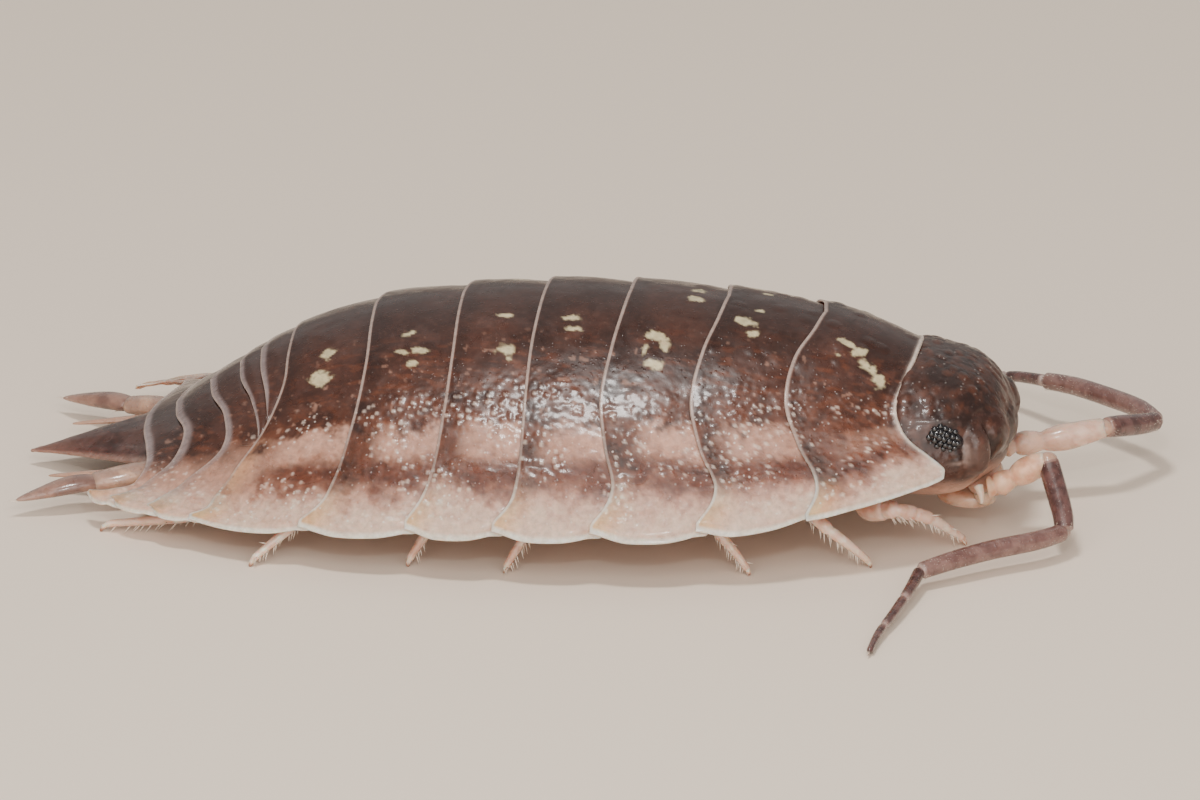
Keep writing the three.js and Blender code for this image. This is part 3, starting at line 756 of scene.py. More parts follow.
def bumpat(P, at, size, height):
    d = (P - np.array(at)) / np.array(size)
    return height * np.exp(-np.sum(d * d, axis=-1))


def lobe(P, at, size, height):
    """A flat-topped swelling with crisp sides."""
    d = (P - np.array(at)) / np.array(size)
    return height * np.exp(-(np.sum(d * d, axis=-1) ** 2))


def head():
    nu, nv = 250, 340
    th = np.linspace(0.02, math.pi - 0.02, nu)
    ph = np.linspace(0, 2 * math.pi, nv, endpoint=False)

    def curl(v):
        return np.sign(v) * np.abs(v) ** (2 / HEAD_POWER)

    x = curl(np.sin(th)[:, None] * np.cos(ph)[None, :])
    y = curl(np.sin(th)[:, None] * np.sin(ph)[None, :])
    z = curl(np.cos(th))[:, None] * np.ones_like(x)
    P = np.stack([HEAD_HALF[0] * x, HEAD_HALF[1] * y, np.where(z > 0, HEAD_HALF[2], HEAD_HALF[3]) * z], -1)
    P = P + HEAD_AT
    D = (P - HEAD_AT) / np.array([1.28**2, 1.62**2, 1.1**2])
    N = D / np.linalg.norm(D, axis=2, keepdims=True)
    A = P.copy()
    A[..., 1] = np.abs(A[..., 1])
    s = np.clip(np.abs(P[..., 1]) / half_width(P[..., 0]), 0, 1)
    nape = margin("nape", s)
    h = np.zeros(P.shape[:2])
    # side lobes beside the feelers, parted from the eye by a fold
    h += lobe(A, (6.52, 1.27, 1.66), (0.2, 0.26, 0.36), 0.17)
    h -= bumpat(A, (6.33, 1.42, 1.74), (0.06, 0.25, 0.3), 0.06)
    h += bumpat(A, (6.27, 1.46, 1.62), (0.05, 0.2, 0.2), 0.03)
    # the forehead stands out in blocks over the sockets of the feelers
    h += lobe(A, (6.8, 0.72, 1.84), (0.27, 0.3, 0.3), 0.1)
    h += lobe(P, (6.95, 0, 1.72), (0.3, 0.34, 0.3), 0.07)
    h -= bumpat(A, (6.68, 1.0, 1.75), (0.2, 0.05, 0.35), 0.07)
    h -= bumpat(P, (6.5, 0, 2.2), (0.12, 1.3, 0.05), 0.05)
    h -= bumpat(A, (6.72, 0.74, 1.06), (0.3, 0.32, 0.32), 0.2)
    h -= bumpat(P, (6.9, 0, 1.32), (0.25, 0.9, 0.09), 0.05)
    # eye socket with a low brow
    h -= bumpat(A, (6.0, 1.5, 1.92), (0.32, 0.3, 0.2), 0.06)
    h += bumpat(A, (5.98, 1.38, 2.2), (0.42, 0.2, 0.06), 0.03)
    # rows of low knobs over the crown, finer grains below
    around = np.arctan2(P[..., 1], P[..., 2] - 1.1) * 1.35
    knob, ktag = granules(P[..., 0] + 0.05 * np.sin(around * 3), around, 0.21, 0.1, 21, 0.85)
    fine, ftag = granules(P[..., 0], around, 0.11, 0.045, 27, 0.8)
    crown = smooth(1.95, 2.3, P[..., 2])
    h += 0.024 * knob * crown * (0.3 + 0.7 * ktag)
    h += 0.01 * fine * (1 - 0.6 * crown) * smooth(1.2, 1.5, P[..., 2])
    h += 0.018 * (fbm(P, 3, 3, 43) - 0.5)
    # the back of the head rises to meet the front of the first plate, and runs in under it
    behind = P[..., 0] - nape
    h += 0.085 * np.exp(-((np.clip(behind, 0, 9) / 0.4) ** 2)) * smooth(1.15, 1.5, P[..., 2])
    P = P + N * h[..., None]
    stop = nape - 0.09
    gap = P[..., 0] - stop
    P[..., 0] = np.where(gap < 0, stop + 0.03 * np.maximum(gap, -1), P[..., 0])
    P = P - N * (0.05 * np.exp(-((np.clip(gap, 0, 9) / 0.06) ** 2)))[..., None]
    # colour
    n1, n2, n3 = fbm(P, 2.2, 4, 51), fbm(P, 6, 4, 53), fbm(P, 12, 3, 55)
    col = blend(DARK * 0.9, DARKER, smooth(0.4, 0.65, n1))
    col = blend(col, RUST, 0.28 * smooth(0.52, 0.7, n2))
    col = blend(col, LILAC, 0.25 * smooth(0.55, 0.75, n3))
    col = blend(col, DARKER, 0.3 * crown * (1 - knob))
    col = blend(col, RUST, 0.16 * smooth(0.3, 0.9, knob) * crown)
    side_lobe = lobe(A, (6.52, 1.3, 1.62), (0.19, 0.3, 0.36), 1.0)
    col = blend(col, srgb(104, 74, 64), 0.7 * side_lobe)
    # a pale crescent painted along the fold in front of the eye and a thin line below it: a painted highlight
    painted_crescent_highlight = bumpat(A, (6.35, 1.42, 1.74), (0.03, 0.3, 0.17), 1.0) + bumpat(A, (6.24, 1.48, 1.56), (0.12, 0.3, 0.03), 0.7)
    col = blend(col, srgb(196, 172, 162), 0.5 * np.clip(painted_crescent_highlight, 0, 1) * (0.5 + n3))
    low = 1 - smooth(1.0, 1.3, P[..., 2] + 0.15 * (n1 - 0.5))
    col = blend(col, PALE2, low)
    verts = P.reshape(-1, 3)
    faces = grid_faces(nu, nv, wrap=True)
    k = len(verts)
    verts = np.vstack([verts, P[0].mean(0), P[-1].mean(0)])
    for j in range(nv):
        faces.append((k, (j + 1) % nv, j))
        faces.append((k + 1, (nu - 1) * nv + j, (nu - 1) * nv + (j + 1) % nv))
    faces = [f[::-1] for f in faces]
    colour = np.vstack([col.reshape(-1, 3), col[0].mean(0), col[-1].mean(0)])
    soft = np.r_[(0.15 + 0.6 * low + 0.5 * side_lobe).ravel(), 0.2, 0.8]
    # painted glints on the upper part of the head, in patches
    painted_glint = np.r_[(smooth(1.3, 1.7, P[..., 2]) * smooth(0.4, 0.6, fbm(P, 2.5, 2, 57))).ravel(), 0, 0]
    return mesh("head_shell", verts, faces, head_mat, ["head"], colour, {"soft": np.clip(soft, 0, 1), "painted_glint": painted_glint})


head()

for side, word in ((1, "left"), (-1, "right")):
    J, B = Join(), Join()
    at = EYE_AT * np.array([1, side, 1]) + np.array([-0.03, -0.03 * side, 0])
    # the eye lies along the side of the head, its long axis dipping to the front
    tilt = math.radians(-24)
    yaw = math.radians(-12 * side)
    ry = np.array([[math.cos(tilt), 0, -math.sin(tilt)], [0, 1, 0], [math.sin(tilt), 0, math.cos(tilt)]])
    rz = np.array(turn_z(math.degrees(yaw)))
    rot = rz @ ry
    half = np.array([0.355, 0.19, 0.205])
    v, f = ball(at, half, 40, 24, rot)
    J.add(v, f, srgb(24, 21, 26))
    J.make("eye_base_" + word, eye_mat, ["eye_" + word], "eye")
    rows = [(-0.86, 3), (-0.58, 4), (-0.2, 6), (0.18, 7), (0.54, 5), (0.84, 4)]
    for q, count in rows:
        for m in range(count):
            p = -0.74 + 1.48 * (m + 0.5) / count + 0.03 * math.sin(m * 5 + q * 9)
            p *= math.sqrt(max(0.0, 1 - q * q)) ** 0.7
            r2 = 1 - p * p - q * q
            if r2 < 0.05:
                continue
            d = np.array([p, side * math.sqrt(r2), q])
            w = rot @ (d * half)
            v, f = ball(at + w, (0.05, 0.05, 0.05), 14, 9)
            B.add(v, f, srgb(22, 22, 27))
    B.make("eye_beads_" + word, bead_mat, ["eye_" + word], "eye")

# ---------------------------------------------------------------- feelers
FEELER = {
    "right": {
        "base": [(6.6, -0.74, 0.9), (6.72, -0.72, 0.93), (6.98, -0.6, 1.03), (7.22, -0.54, 1.16), (7.5, -0.52, 1.31)],
        "article4": [(7.5, -0.52, 1.32), (7.57, -0.62, 1.14), (7.8, -1.04, 0.68), (7.86, -1.24, 0.46)],
        "article5": [(7.86, -1.24, 0.44), (7.5, -1.62, 0.43), (6.84, -2.08, 0.41), (6.3, -2.5, 0.37), (5.86, -2.83, 0.3)],
        "flagellum": [(5.86, -2.83, 0.3), (5.79, -3.5, 0.24), (5.68, -4.25, 0.19), (5.55, -5.0, 0.14), (5.5, -5.62, 0.08)],
    },
    "left": {
        "base": [(6.62, 0.78, 0.95), (6.8, 0.85, 0.98), (7.2, 1.02, 1.0), (7.6, 1.16, 1.05), (8.12, 1.34, 1.15)],
        "article4": [(8.12, 1.34, 1.15), (8.3, 1.55, 1.1), (8.58, 1.98, 0.98), (8.775, 2.33, 0.9)],
        "article5": [(8.775, 2.33, 0.9), (8.44, 2.8, 0.9), (7.85, 3.28, 0.88), (7.3, 3.66, 0.86), (6.8, 3.96, 0.8)],
        "flagellum": [(6.8, 3.96, 0.8), (6.3, 4.4, 0.66), (5.8, 4.75, 0.48), (5.3, 5.05, 0.28), (4.95, 5.3, 0.12)],
    },
}
FEEL = srgb(112, 80, 76)
FEEL2 = srgb(84, 58, 56)
for word, side in (("right", -1), ("left", 1)):
    F = FEELER[word]
    J = Join()
    # three pale base articles, each wider at its far end, with soft folds between
    C = path(F["base"], 16)
    t = np.linspace(0, 1, len(C))
    seg = np.where(t < 0.24, t / 0.24, np.where(t < 0.5, (t - 0.24) / 0.26, (t - 0.5) / 0.5))
    widths = np.where(t < 0.24, 0.15, np.where(t < 0.5, 0.17, 0.185))
    R = widths * (0.78 + 0.34 * np.sin(np.pi * np.clip(seg, 0, 1) ** 0.8)) * (1 - 0.12 * smooth(0.97, 1, t))
    v, f, a = tube(C, R, 32)
    v = v + 0.012 * (fbm(v, 6, 3, 61) - 0.5)[:, None]
    n = fbm(v, 7, 3, 62)
    col = blend(srgb(232, 190, 160) * np.ones((len(v), 3)), srgb(214, 160, 128), smooth(0.4, 0.7, n))
    col = blend(col, srgb(244, 214, 190), smooth(0.6, 0.75, fbm(v, 3, 3, 64)))
    if word == "left":
        col = blend(col, srgb(214, 190, 178), 0.5 * np.ones(len(v)))
    J.add(v, f, col, 1.0)
    J.make("antenna_base_skin_" + word, skin_mat, ["antenna_" + word + "_base"], "antenna_base")

    J = Join()
    C = path(F["article4"], 16)
    t = np.linspace(0, 1, len(C))
    R = 0.166 * (0.86 + 0.16 * np.sin(np.pi * t ** 0.7)) * (0.8 + 0.2 * smooth(0, 0.06, t)) * (1 - 0.28 * smooth(0.94, 1, t))
    v, f, a = tube(C, R, 30)
    n = fbm(v, 8, 3, 65)
    col = blend(FEEL * np.ones((len(v), 3)), FEEL2, smooth(0.4, 0.65, n))
    col = blend(col, srgb(176, 138, 124), 0.8 * (1 - smooth(0.05, 0.16, a)))
    col = blend(col, srgb(190, 160, 150), 0.7 * smooth(0.93, 0.99, a))
    J.add(v, f, col, 0.5)
    # a soft collar where it leaves the base
    v, f = ball(C[0], (0.15, 0.15, 0.12), 20, 12)
    J.add(v, f, srgb(206, 164, 140), 1.0)
    J.make("antenna_article4_skin_" + word, feeler_mat, ["antenna_" + word + "_article4"], "antenna")

    J = Join()
    C = path(F["article5"], 14)
    t = np.linspace(0, 1, len(C))
    R = 0.146 * (0.9 + 0.14 * np.sin(np.pi * t ** 0.8)) * (0.84 + 0.16 * smooth(0, 0.04, t)) * (1 - 0.3 * smooth(0.96, 1, t))
    v, f, a = tube(C, R, 30)
    n = fbm(v, 8, 3, 66)
    col = blend(srgb(140, 108, 101) * np.ones((len(v), 3)), FEEL, 0.8 * smooth(0.4, 0.65, n))
    col = blend(col, srgb(206, 182, 172), 0.8 * smooth(0.95, 0.99, a) + 0.7 * (1 - smooth(0.0, 0.04, a)))
    J.add(v, f, col, 0.5)
    v, f = ball(C[0], (0.105, 0.105, 0.105), 18, 12)
    J.add(v, f, srgb(176, 148, 138), 0.8)
    J.make("antenna_article5_skin_" + word, feeler_mat, ["antenna_" + word + "_article5"], "antenna")

    J = Join()
    C = path(F["flagellum"], 16)
    t = np.linspace(0, 1, len(C))
    R = lerp(0.098, 0.05, t)
    for joint in (0.34, 0.66):
        R = R * (1 - 0.24 * np.exp(-(((t - joint) / 0.014) ** 2)))
    R = R * (1 - 0.85 * smooth(0.96, 1.0, t)) * (0.8 + 0.2 * smooth(0, 0.03, t))
    C[:, 2] = np.maximum(C[:, 2], R + 0.006)
    v, f, a = tube(C, R, 26)
    n = fbm(v, 8, 3, 67)
    col = blend(FEEL2 * 0.95 * np.ones((len(v), 3)), FEEL, smooth(0.4, 0.65, n))
    for joint in (0.34, 0.66):
        col = blend(col, srgb(196, 168, 160), 0.85 * np.exp(-(((a - joint) / 0.022) ** 2)))
    col = blend(col, srgb(206, 182, 172), 0.85 * (1 - smooth(0.01, 0.05, a)))
    J.add(v, f, col, 0.5)
    v, f = spine(C[-1] - (C[-1] - C[-3]) * 0.5, C[-1] - C[-3], 0.15, 0.02)
    J.add(v, f, srgb(200, 176, 160), 1.0)
    J.make("antenna_flagellum_skin_" + word, feeler_mat, ["antenna_" + word + "_flagellum"], "antenna")

    # short hairs along the feeler
    B = Join()
    rng = np.random.default_rng(11 if side > 0 else 12)
    for key, rad, count in (("article4", 0.158, 190), ("article5", 0.14, 420), ("flagellum", 0.08, 320)):
        C = path(F[key], 16)
        C[:, 2] = np.maximum(C[:, 2], 0.09 if key == "flagellum" else 0)
        T = np.gradient(C, axis=0)
        T /= np.linalg.norm(T, axis=1, keepdims=True)
        for m in range(count):
            i = rng.integers(2, len(C) - 3)
            r = rad * (1 - 0.45 * i / len(C)) if key == "flagellum" else rad
            e = np.cross(T[i], rng.normal(size=3))
            e /= np.linalg.norm(e)
            d = e + T[i] * 1.1
            at = C[i] + e * r * 0.9
            if at[2] + 0.05 * d[2] < 0.01:
                continue
            v, f = spine(at, d, 0.035 + 0.025 * rng.random(), 0.0035, 4)
            B.add(v, f, srgb(216, 190, 176))
    B.make("antenna_hairs_" + word, bristle_mat, ["antenna_" + word + "_article5"], "antenna")

# ---------------------------------------------------------------- legs
LEGS = [
    dict(x=4.62, knee=(5.35, 1.75, 1.0), shin=(5.85, 1.45, 0.6), foot=(6.3, 0.95)),
    dict(x=3.18, knee=(3.85, 2.05, 1.12), shin=(4.4, 2.3, 0.66), foot=(5.0, 2.08)),
    dict(x=1.78, knee=(2.1, 2.15, 1.2), shin=(2.7, 2.6, 0.66), foot=(3.21, 2.69)),
    dict(x=0.36, knee=(0.2, 2.3, 1.2), shin=(-0.15, 2.9, 0.66), foot=(-0.51, 3.2)),
    dict(x=-0.98, knee=(-1.25, 2.3, 1.2), shin=(-1.65, 2.85, 0.64), foot=(-2.02, 3.15)),
    dict(x=-2.3, knee=(-2.9, 2.35, 1.05), shin=(-3.7, 3.0, 0.6), foot=(-4.41, 3.53)),
    dict(x=-3.62, knee=(-4.4, 1.95, 0.78), shin=(-5.5, 2.35, 0.3), foot=(-6.91, 2.47)),
]
for side, word in ((-1, "right"), (1, "left")):
    for k, L in enumerate(LEGS):
        top = float(belly_height(L["x"])) + 0.02
        kx, ky, kz = L["knee"]
        sx, sy, sz = L["shin"]
        fx, fy = L["foot"]
        pts = [
            (L["x"], 1.05, top),
            (lerp(L["x"], kx, 0.3), lerp(1.2, ky, 0.35), 0.72),
            (lerp(L["x"], kx, 0.75), lerp(1.2, ky, 0.8), lerp(0.72, kz - 0.16, 0.7)),
            (kx, ky, kz - 0.16),
            (lerp(kx, sx, 0.5), lerp(ky, sy, 0.5), lerp(kz - 0.16, sz, 0.42)),
            (sx, sy, sz),
            (lerp(sx, fx, 0.52), lerp(sy, fy, 0.52), sz * 0.5 + 0.04),
            (lerp(sx, fx, 0.9), lerp(sy, fy, 0.9), 0.13),
            (fx, fy, 0.0),
        ]
        pts = [(x, side * y, z) for x, y, z in pts]
        C = path(pts, 12)
        n = len(C)
        t = np.linspace(0, 1, n) * 8
        # radius along the joints: base, three short middle joints, the long thin shank and the claw
        big = np.interp(t, [0, 1, 2, 3, 4, 5, 6, 7, 7.5, 8], [0.2, 0.185, 0.15, 0.12, 0.108, 0.088, 0.068, 0.05, 0.032, 0.014])
        joints = [2.0, 3.0, 4.0, 5.0, 7.2]
        for q in joints:
            big = big * (1 - 0.2 * np.exp(-(((t - q) / 0.07) ** 2))) * (1 + 0.1 * np.exp(-(((t - q + 0.28) / 0.16) ** 2)))
        C[:, 2] = np.maximum(C[:, 2], big * 0.6)
        v, f, a = tube(C, big, 22)
        v[:, 2] = np.maximum(v[:, 2], 0.0)
        J = Join()
        m = fbm(v, 5, 3, 70 + k)
        col = blend(srgb(236, 202, 184) * np.ones((len(v), 3)), srgb(218, 172, 150), smooth(0.38, 0.68, m))
        col = blend(col, srgb(250, 230, 216), 0.7 * smooth(0.6, 0.75, fbm(v, 9, 3, 80 + k)))
        for q in joints:
            col = blend(col, srgb(246, 226, 208), 0.6 * np.exp(-(((a * 8 - q) / 0.09) ** 2)))
        col = blend(col, srgb(120, 72, 50), 0.85 * smooth(7.3 / 8, 7.7 / 8, a))
        J.add(v, f, col, 1.0)
        J.make(f"leg_skin_{word}_{k + 1}", skin_mat, [f"leg_{word}_{k + 1}"], "leg")
        # spines under the middle joints and hairs on the shank
        B = Join()
        rng = np.random.default_rng(200 + k + (50 if side > 0 else 0))
        T = np.gradient(C, axis=0)
        T /= np.linalg.norm(T, axis=1, keepdims=True)
        for b in range(46):
            q = 2.6 + 4.7 * (b + rng.random()) / 46
            i = int(np.clip(q / 8 * (n - 1), 2, n - 2))
            down = np.array([0, 0, -1.0]) + 0.55 * rng.normal(size=3)
            e = down - T[i] * np.dot(down, T[i])
            e /= np.linalg.norm(e)
            d = e * 0.8 + T[i] * 0.75
            at = C[i] + e * big[i] * 0.85
            ln = 0.1 + 0.1 * rng.random()
            tip = at + d / np.linalg.norm(d) * ln
            if tip[2] < 0.004:
                continue
            v, f = spine(at, d, ln, 0.011, 5)
            B.add(v, f, srgb(244, 228, 210))
        B.make(f"leg_spines_{word}_{k + 1}", bristle_mat, [f"leg_{word}_{k + 1}"], "leg")

# ---------------------------------------------------------------- underside: one skin below the plates
def belly():
    nu, nv = 240, 120
    x = np.linspace(5.5, -6.75, nu)
    v = np.linspace(-1, 1, nv)
    # narrower at the rear, with rounded corners, so that it stays under the pointed tail
    behind = 1 - smooth(-6.8, -5.9, x)[:, None]
    S = np.abs(v)[None, :] * 0.7 * (1 - 0.22 * behind)
    X = x[:, None] + 0.5 * smooth(0.4, 1.0, np.abs(v))[None, :] * behind
    Y = np.sign(v)[None, :] * S * half_width(X)
    # the skin's front edge follows the nape
    X = X + (margin("nape", S) - 5.45) * smooth(4.2, 5.4, X)
    under = back_at(X, S) - 0.26
    base = belly_height(X) - 0.02
    rows = np.array([5.42, 3.97, 2.46, 0.95, -0.38, -1.66, -3.03, -4.3, -4.8, -5.13, -5.6, -6.13, -6.6])
    fold = np.zeros_like(X)
    for r in rows:
        fold += np.exp(-(((X - r) / 0.07) ** 2))
    base = base + 0.05 * fold * smooth(-6.9, -4.5, X)
    low = lerp(base, np.maximum(under, base), smooth(0.42, 0.6, S))
    topz = np.maximum(back_at(X, S) - 0.17, low + 0.04)
    T = np.stack([X, Y, topz], -1)
    B = np.stack([X, Y, low], -1)
    verts = np.concatenate([T.reshape(-1, 3), B.reshape(-1, 3)])
    o = nu * nv
    faces = [f for f in grid_faces(nu, nv)]
    faces += [f[::-1] for f in grid_faces(nu, nv, o)]
    for i in range(nu - 1):
        a, b = i * nv, (i + 1) * nv
        faces.append((b, a, a + o, b + o)[::-1])
        a, b = a + nv - 1, b + nv - 1
        faces.append((a, b, b + o, a + o)[::-1])
    for j in range(nv - 1):
        faces.append((j, j + 1, j + 1 + o, j + o)[::-1])
        c = (nu - 1) * nv + j
        faces.append((c + 1, c, c + o, c + 1 + o)[::-1])
    n = fbm(verts, 3, 4, 91)
    col = blend(srgb(222, 196, 178) * np.ones((len(verts), 3)), srgb(190, 156, 138), smooth(0.4, 0.65, n))
    return mesh("underside_skin", verts, faces, skin_mat, [k for k in ORDER if k != "nape"], col, {"soft": np.ones(len(verts))})


belly()

# gill covers below the tail, in overlapping pairs
J = Join()
for k in range(5):
    for side in (1, -1):
        x = -4.75 - 0.36 * k
        w = 0.62 - 0.05 * k
        v, f = ball((x - 0.18, side * (0.1 + w * 0.62), 0.5 - 0.045 * k), (0.42, w * 0.62, 0.05), 36, 12, turn_z(-24 * side))
        tilt = 0.16
        v[:, 2] += (v[:, 0] - x) * tilt
        col = blend(srgb(236, 222, 210) * np.ones((len(v), 3)), srgb(214, 190, 172), smooth(0.4, 0.65, fbm(v, 4, 3, 95)))
        J.add(v, f, col, 1.0)
J.make("gill_covers", skin_mat, ["pleonite_3", "pleonite_4", "pleonite_5"], "leg")

# ---------------------------------------------------------------- pleotelson and uropods
def telson():
    nu, nv = 70, 81
    t = np.linspace(-0.1, 1, nu)[:, None]
    v = np.linspace(-1, 1, nv)[None, :]
    s = np.abs(v)
    front = margin("pleonite_5", s * 1.2 / float(half_width(-6.5)))
    X = lerp(front, -8.4, t)
    tt = np.clip(t, 0, 1)
    half = 1.2 * (1 - tt) ** 1.25 + 0.05 + 0 * v
    half = half * (1 - smooth(0.93, 1.02, tt) * 0.75)
    mid = lerp(0.94, 0.3, tt**0.85)
    Z = mid - 0.24 * s * s * (1 - tt) - 0.02 + 0.05 * np.sin(np.pi * np.clip(tt * 1.1, 0, 1)) * (1 - s * s)
    Z = Z - 0.05 * np.exp(-(((s - 0.55) / 0.2) ** 2)) * (1 - tt)
    P = np.stack([X + 0 * v, v * half, Z + 0 * v], -1)
    N = normals_of(P)
    N = N * np.sign(N[nu // 2, nv // 2, 2])
    P = P + N * (0.02 * (fbm(P, 3, 3, 101) - 0.5) + 0.008 * (fbm(P, 9, 2, 102) - 0.5))[..., None]
    thick = 0.09 * (1 - 0.5 * s) * (1 - 0.4 * tt)
    verts, faces, rows, cols, depth = shell(P, np.maximum(thick, 0.04))
    p = P[rows, cols]
    n1, n2 = fbm(p, 3, 4, 103), fbm(p, 8, 3, 104)
    ss, ts = np.abs(np.linspace(-1, 1, nv))[cols], np.clip(np.linspace(-0.1, 1, nu)[rows], 0, 1)
    col = blend(srgb(92, 68, 62) * np.ones((len(p), 3)), srgb(68, 48, 44), smooth(0.4, 0.65, n1))
    col = blend(col, LILAC, 0.4 * smooth(0.5, 0.7, n2))
    col = blend(col, srgb(170, 140, 128), 0.7 * smooth(0.82, 0.97, ss))
    col = blend(col, srgb(150, 118, 106), 0.6 * smooth(0.55, 0.95, ts))
    return mesh("pleotelson_plate", verts, faces, shell_mat, ["pleotelson"], col, {"soft": 0.3 + 0.5 * ss})


telson()
for side, word in ((1, "left"), (-1, "right")):
    J = Join()
    # the base joint
    C = path([(-5.95, side * 1.08, 0.6), (-6.5, side * 1.34, 0.54), (-6.85, side * 1.5, 0.5), (-7.2, side * 1.62, 0.45)], 10)
    t = np.linspace(0, 1, len(C))
    R = 0.24 * (0.8 + 0.25 * np.sin(np.pi * t)) * (1 - 0.3 * smooth(0.9, 1, t))
    v, f, a = tube(C, R, 26, flat=0.62)
    col = blend(srgb(176, 140, 122) * np.ones((len(v), 3)), srgb(206, 166, 140), smooth(0.4, 0.65, fbm(v, 5, 3, 110)))
    J.add(v, f, col, 0.8)
    # the long outer blade
    C = path([(-7.1, side * 1.6, 0.46), (-7.45, side * 1.74, 0.45), (-7.85, side * 1.93, 0.38), (-8.28, side * 2.13, 0.29)], 12)
    t = np.linspace(0, 1, len(C))
    R = 0.2 * np.sin(np.pi * np.clip(0.12 + 0.88 * t, 0, 1) ** 0.75) ** 0.8 + 0.012
    R[-1] = 0.01
    v, f, a = tube(C, R, 26, flat=0.6)
    col = blend(srgb(128, 96, 86) * np.ones((len(v), 3)), srgb(160, 122, 106), smooth(0.4, 0.65, fbm(v, 5, 3, 112)))
    col = blend(col, srgb(190, 156, 140), 0.7 * smooth(0.6, 1.0, a))
    J.add(v, f, col, 0.6)
    # the slender inner blade
    C = path([(-6.3, side * 1.0, 0.54), (-6.9, side * 1.12, 0.43), (-7.4, side * 1.1, 0.37), (-7.95, side * 1.08, 0.3)], 12)
    t = np.linspace(0, 1, len(C))
    R = 0.1 * (1 - t) ** 0.6 + 0.012
    v, f, a = tube(C, R, 18, flat=0.7)
    J.add(v, f, srgb(196, 156, 134), 0.8)
    J.make("uropod_skin_" + word, feeler_mat, ["uropod_" + word], "uropod")
    B = Join()
    rng = np.random.default_rng(300 + side)
    for q in range(26):
        t0 = rng.random()
        at = np.array([lerp(-7.3, -8.2, t0), side * lerp(1.68, 2.1, t0), lerp(0.44, 0.3, t0)])
        e = rng.normal(size=3)
        e[0] = 0
        e /= np.linalg.norm(e)
        v, f = spine(at + e * 0.12 * (1 - t0), np.array([-1.0, side * 0.35, 0]) + e * 0.5, 0.1 + 0.05 * rng.random(), 0.007, 4)
        B.add(v, f, srgb(216, 192, 170))
    for dy in (-0.02, 0.0, 0.02):
        v, f = spine((-8.24, side * 2.11 + dy, 0.29), (-1, side * 0.4 + dy * 8, -0.1), 0.17, 0.009, 4)
        B.add(v, f, srgb(206, 180, 160))
    B.make("uropod_hairs_" + word, bristle_mat, ["uropod_" + word], "uropod")

# ---------------------------------------------------------------- mouthparts
J = Join()
for side in (1, -1):
    v, f = ball((6.2, side * 0.25, 0.52), (0.46, 0.24, 0.16), 30, 16, turn_z(6 * side))
    col = blend(srgb(226, 192, 168) * np.ones((len(v), 3)), srgb(196, 152, 126), smooth(0.4, 0.65, fbm(v, 5, 3, 121)))
    J.add(v, f, col, 1.0)
    v, f = ball((6.5, side * 0.42, 0.66), (0.16, 0.15, 0.18), 20, 12)
    J.add(v, f, srgb(222, 184, 158), 1.0)
    v, f, a = tube(path([(6.5, side * 1.02, 1.02), (6.56, side * 1.12, 0.9), (6.58, side * 1.18, 0.8)], 8), np.linspace(0.075, 0.02, 17), 16)
    J.add(v, f, srgb(238, 206, 186), 1.0)
    C = path([(6.55, side * 0.2, 0.6), (6.72, side * 0.16, 0.62), (6.8, side * 0.12, 0.56)], 8)
    v, f, a = tube(C, np.linspace(0.09, 0.04, 17), 16)
    J.add(v, f, srgb(210, 164, 134), 1.0)
v, f = ball((6.45, 0, 0.78), (0.28, 0.62, 0.2), 36, 18)
J.add(v, f, blend(srgb(216, 184, 164) * np.ones((len(v), 3)), srgb(180, 140, 120), smooth(0.4, 0.65, fbm(v, 4, 3, 125))), 1.0)
J.make("mouth_skin", skin_mat, ["mouthparts"], "mouthparts")

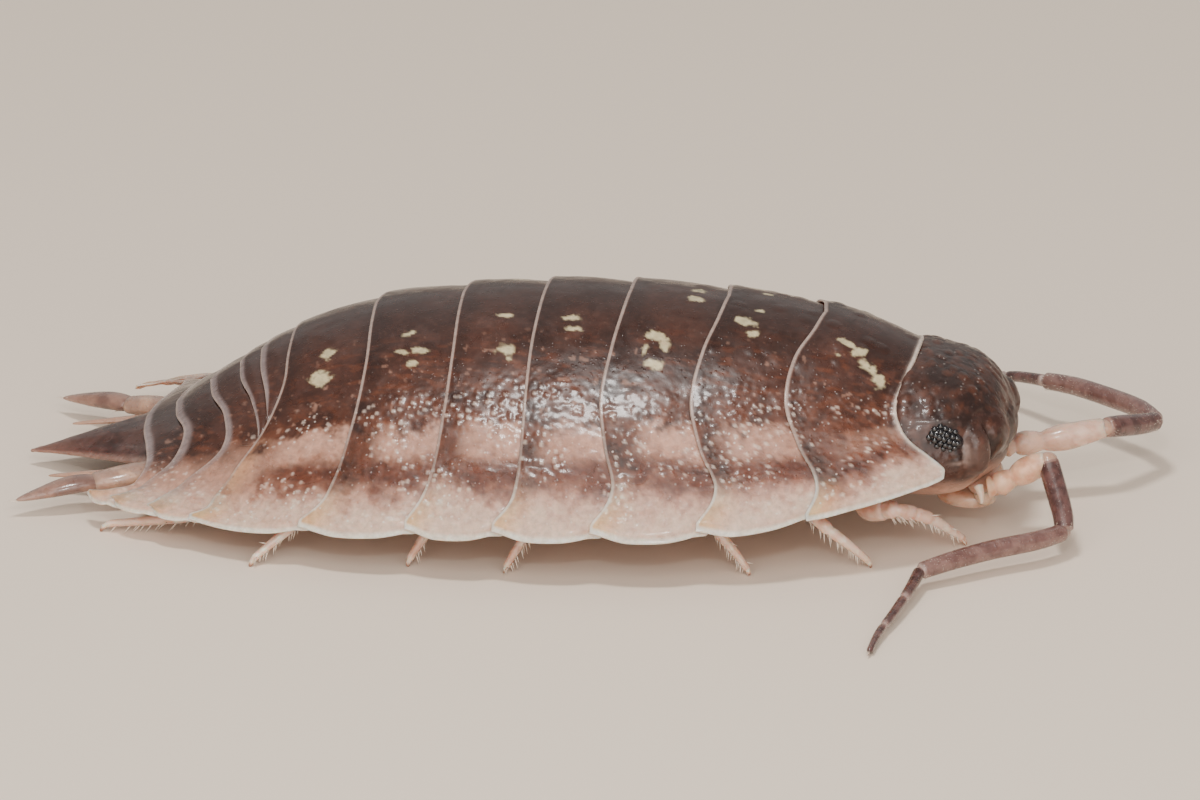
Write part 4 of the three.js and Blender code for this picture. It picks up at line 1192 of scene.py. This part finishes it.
# ---------------------------------------------------------------- camera, lights and floor
AZ, EL = math.radians(9), math.radians(22)
right = np.array([math.cos(AZ), math.sin(AZ), 0])
upv = np.array([-math.sin(AZ) * math.sin(EL), math.cos(AZ) * math.sin(EL), math.cos(EL)])
toward = np.array([math.sin(AZ) * math.cos(EL), -math.cos(AZ) * math.cos(EL), math.sin(EL)])
PX = 65.0
target = right * (600 - 570) / PX + upv * (498 - 400) / PX + SHIFT
DIST = 520.0
cam_data = bpy.data.cameras.new("camera")
cam = bpy.data.objects.new("camera", cam_data)
bpy.context.scene.collection.objects.link(cam)
cam_data.sensor_fit = "HORIZONTAL"
cam_data.sensor_width = 36.0
cam_data.lens = 36.0 * DIST / (1200 / PX)
cam_data.clip_start = 0.01
cam_data.clip_end = 5.0
basis = Matrix((tuple(right), tuple(upv), tuple(toward))).transposed().to_4x4()
cam.matrix_world = Matrix.Translation(Vector((target + toward * DIST) * MM)) @ basis
bpy.context.scene.camera = cam


def area(name, at, look, size, energy, colour=(1, 1, 1), size_y=None):
    d = bpy.data.lights.new(name, "AREA")
    d.energy = energy
    d.color = colour
    d.size = size * MM
    if size_y:
        d.shape = "RECTANGLE"
        d.size_y = size_y * MM
    o = bpy.data.objects.new(name, d)
    bpy.context.scene.collection.objects.link(o)
    at, look = Vector(at) * MM, Vector(look) * MM
    o.matrix_world = Matrix.Translation(at) @ (look - at).to_track_quat("-Z", "Y").to_matrix().to_4x4()
    return o


area("key", (-3, -21, 78), (0, 0, 1), 14, 0.033, (1.0, 0.98, 0.95), size_y=10)
area("fill", (16, -95, 42), (0, 0, 1), 140, 0.15, (1.0, 0.95, 0.9))
area("glint", (14, -70, 50), (0, 0, 1), 5, 0.011, (1.0, 0.98, 0.95))
area("back", (-10, 110, 90), (0, 0, 1), 150, 0.02, (1.0, 0.96, 0.93))

world = bpy.data.worlds.new("world")
bpy.context.scene.world = world
world.use_nodes = True
world.node_tree.nodes["Background"].inputs[0].default_value = (1.0, 0.94, 0.89, 1)
world.node_tree.nodes["Background"].inputs[1].default_value = 0.33

floor_mesh = bpy.data.meshes.new("floor")
f = 0.6
floor_mesh.from_pydata([(-f, -f, 0), (f, -f, 0), (f, f, 0), (-f, f, 0)], [], [(0, 1, 2, 3)])
floor = bpy.data.objects.new("floor", floor_mesh)
bpy.context.scene.collection.objects.link(floor)
fm, fnt, fb = nodes_of("floor")
fb.inputs["Base Color"].default_value = (*srgb(244, 228, 210), 1)
fb.inputs["Roughness"].default_value = 0.75
floor_mesh.materials.append(fm)
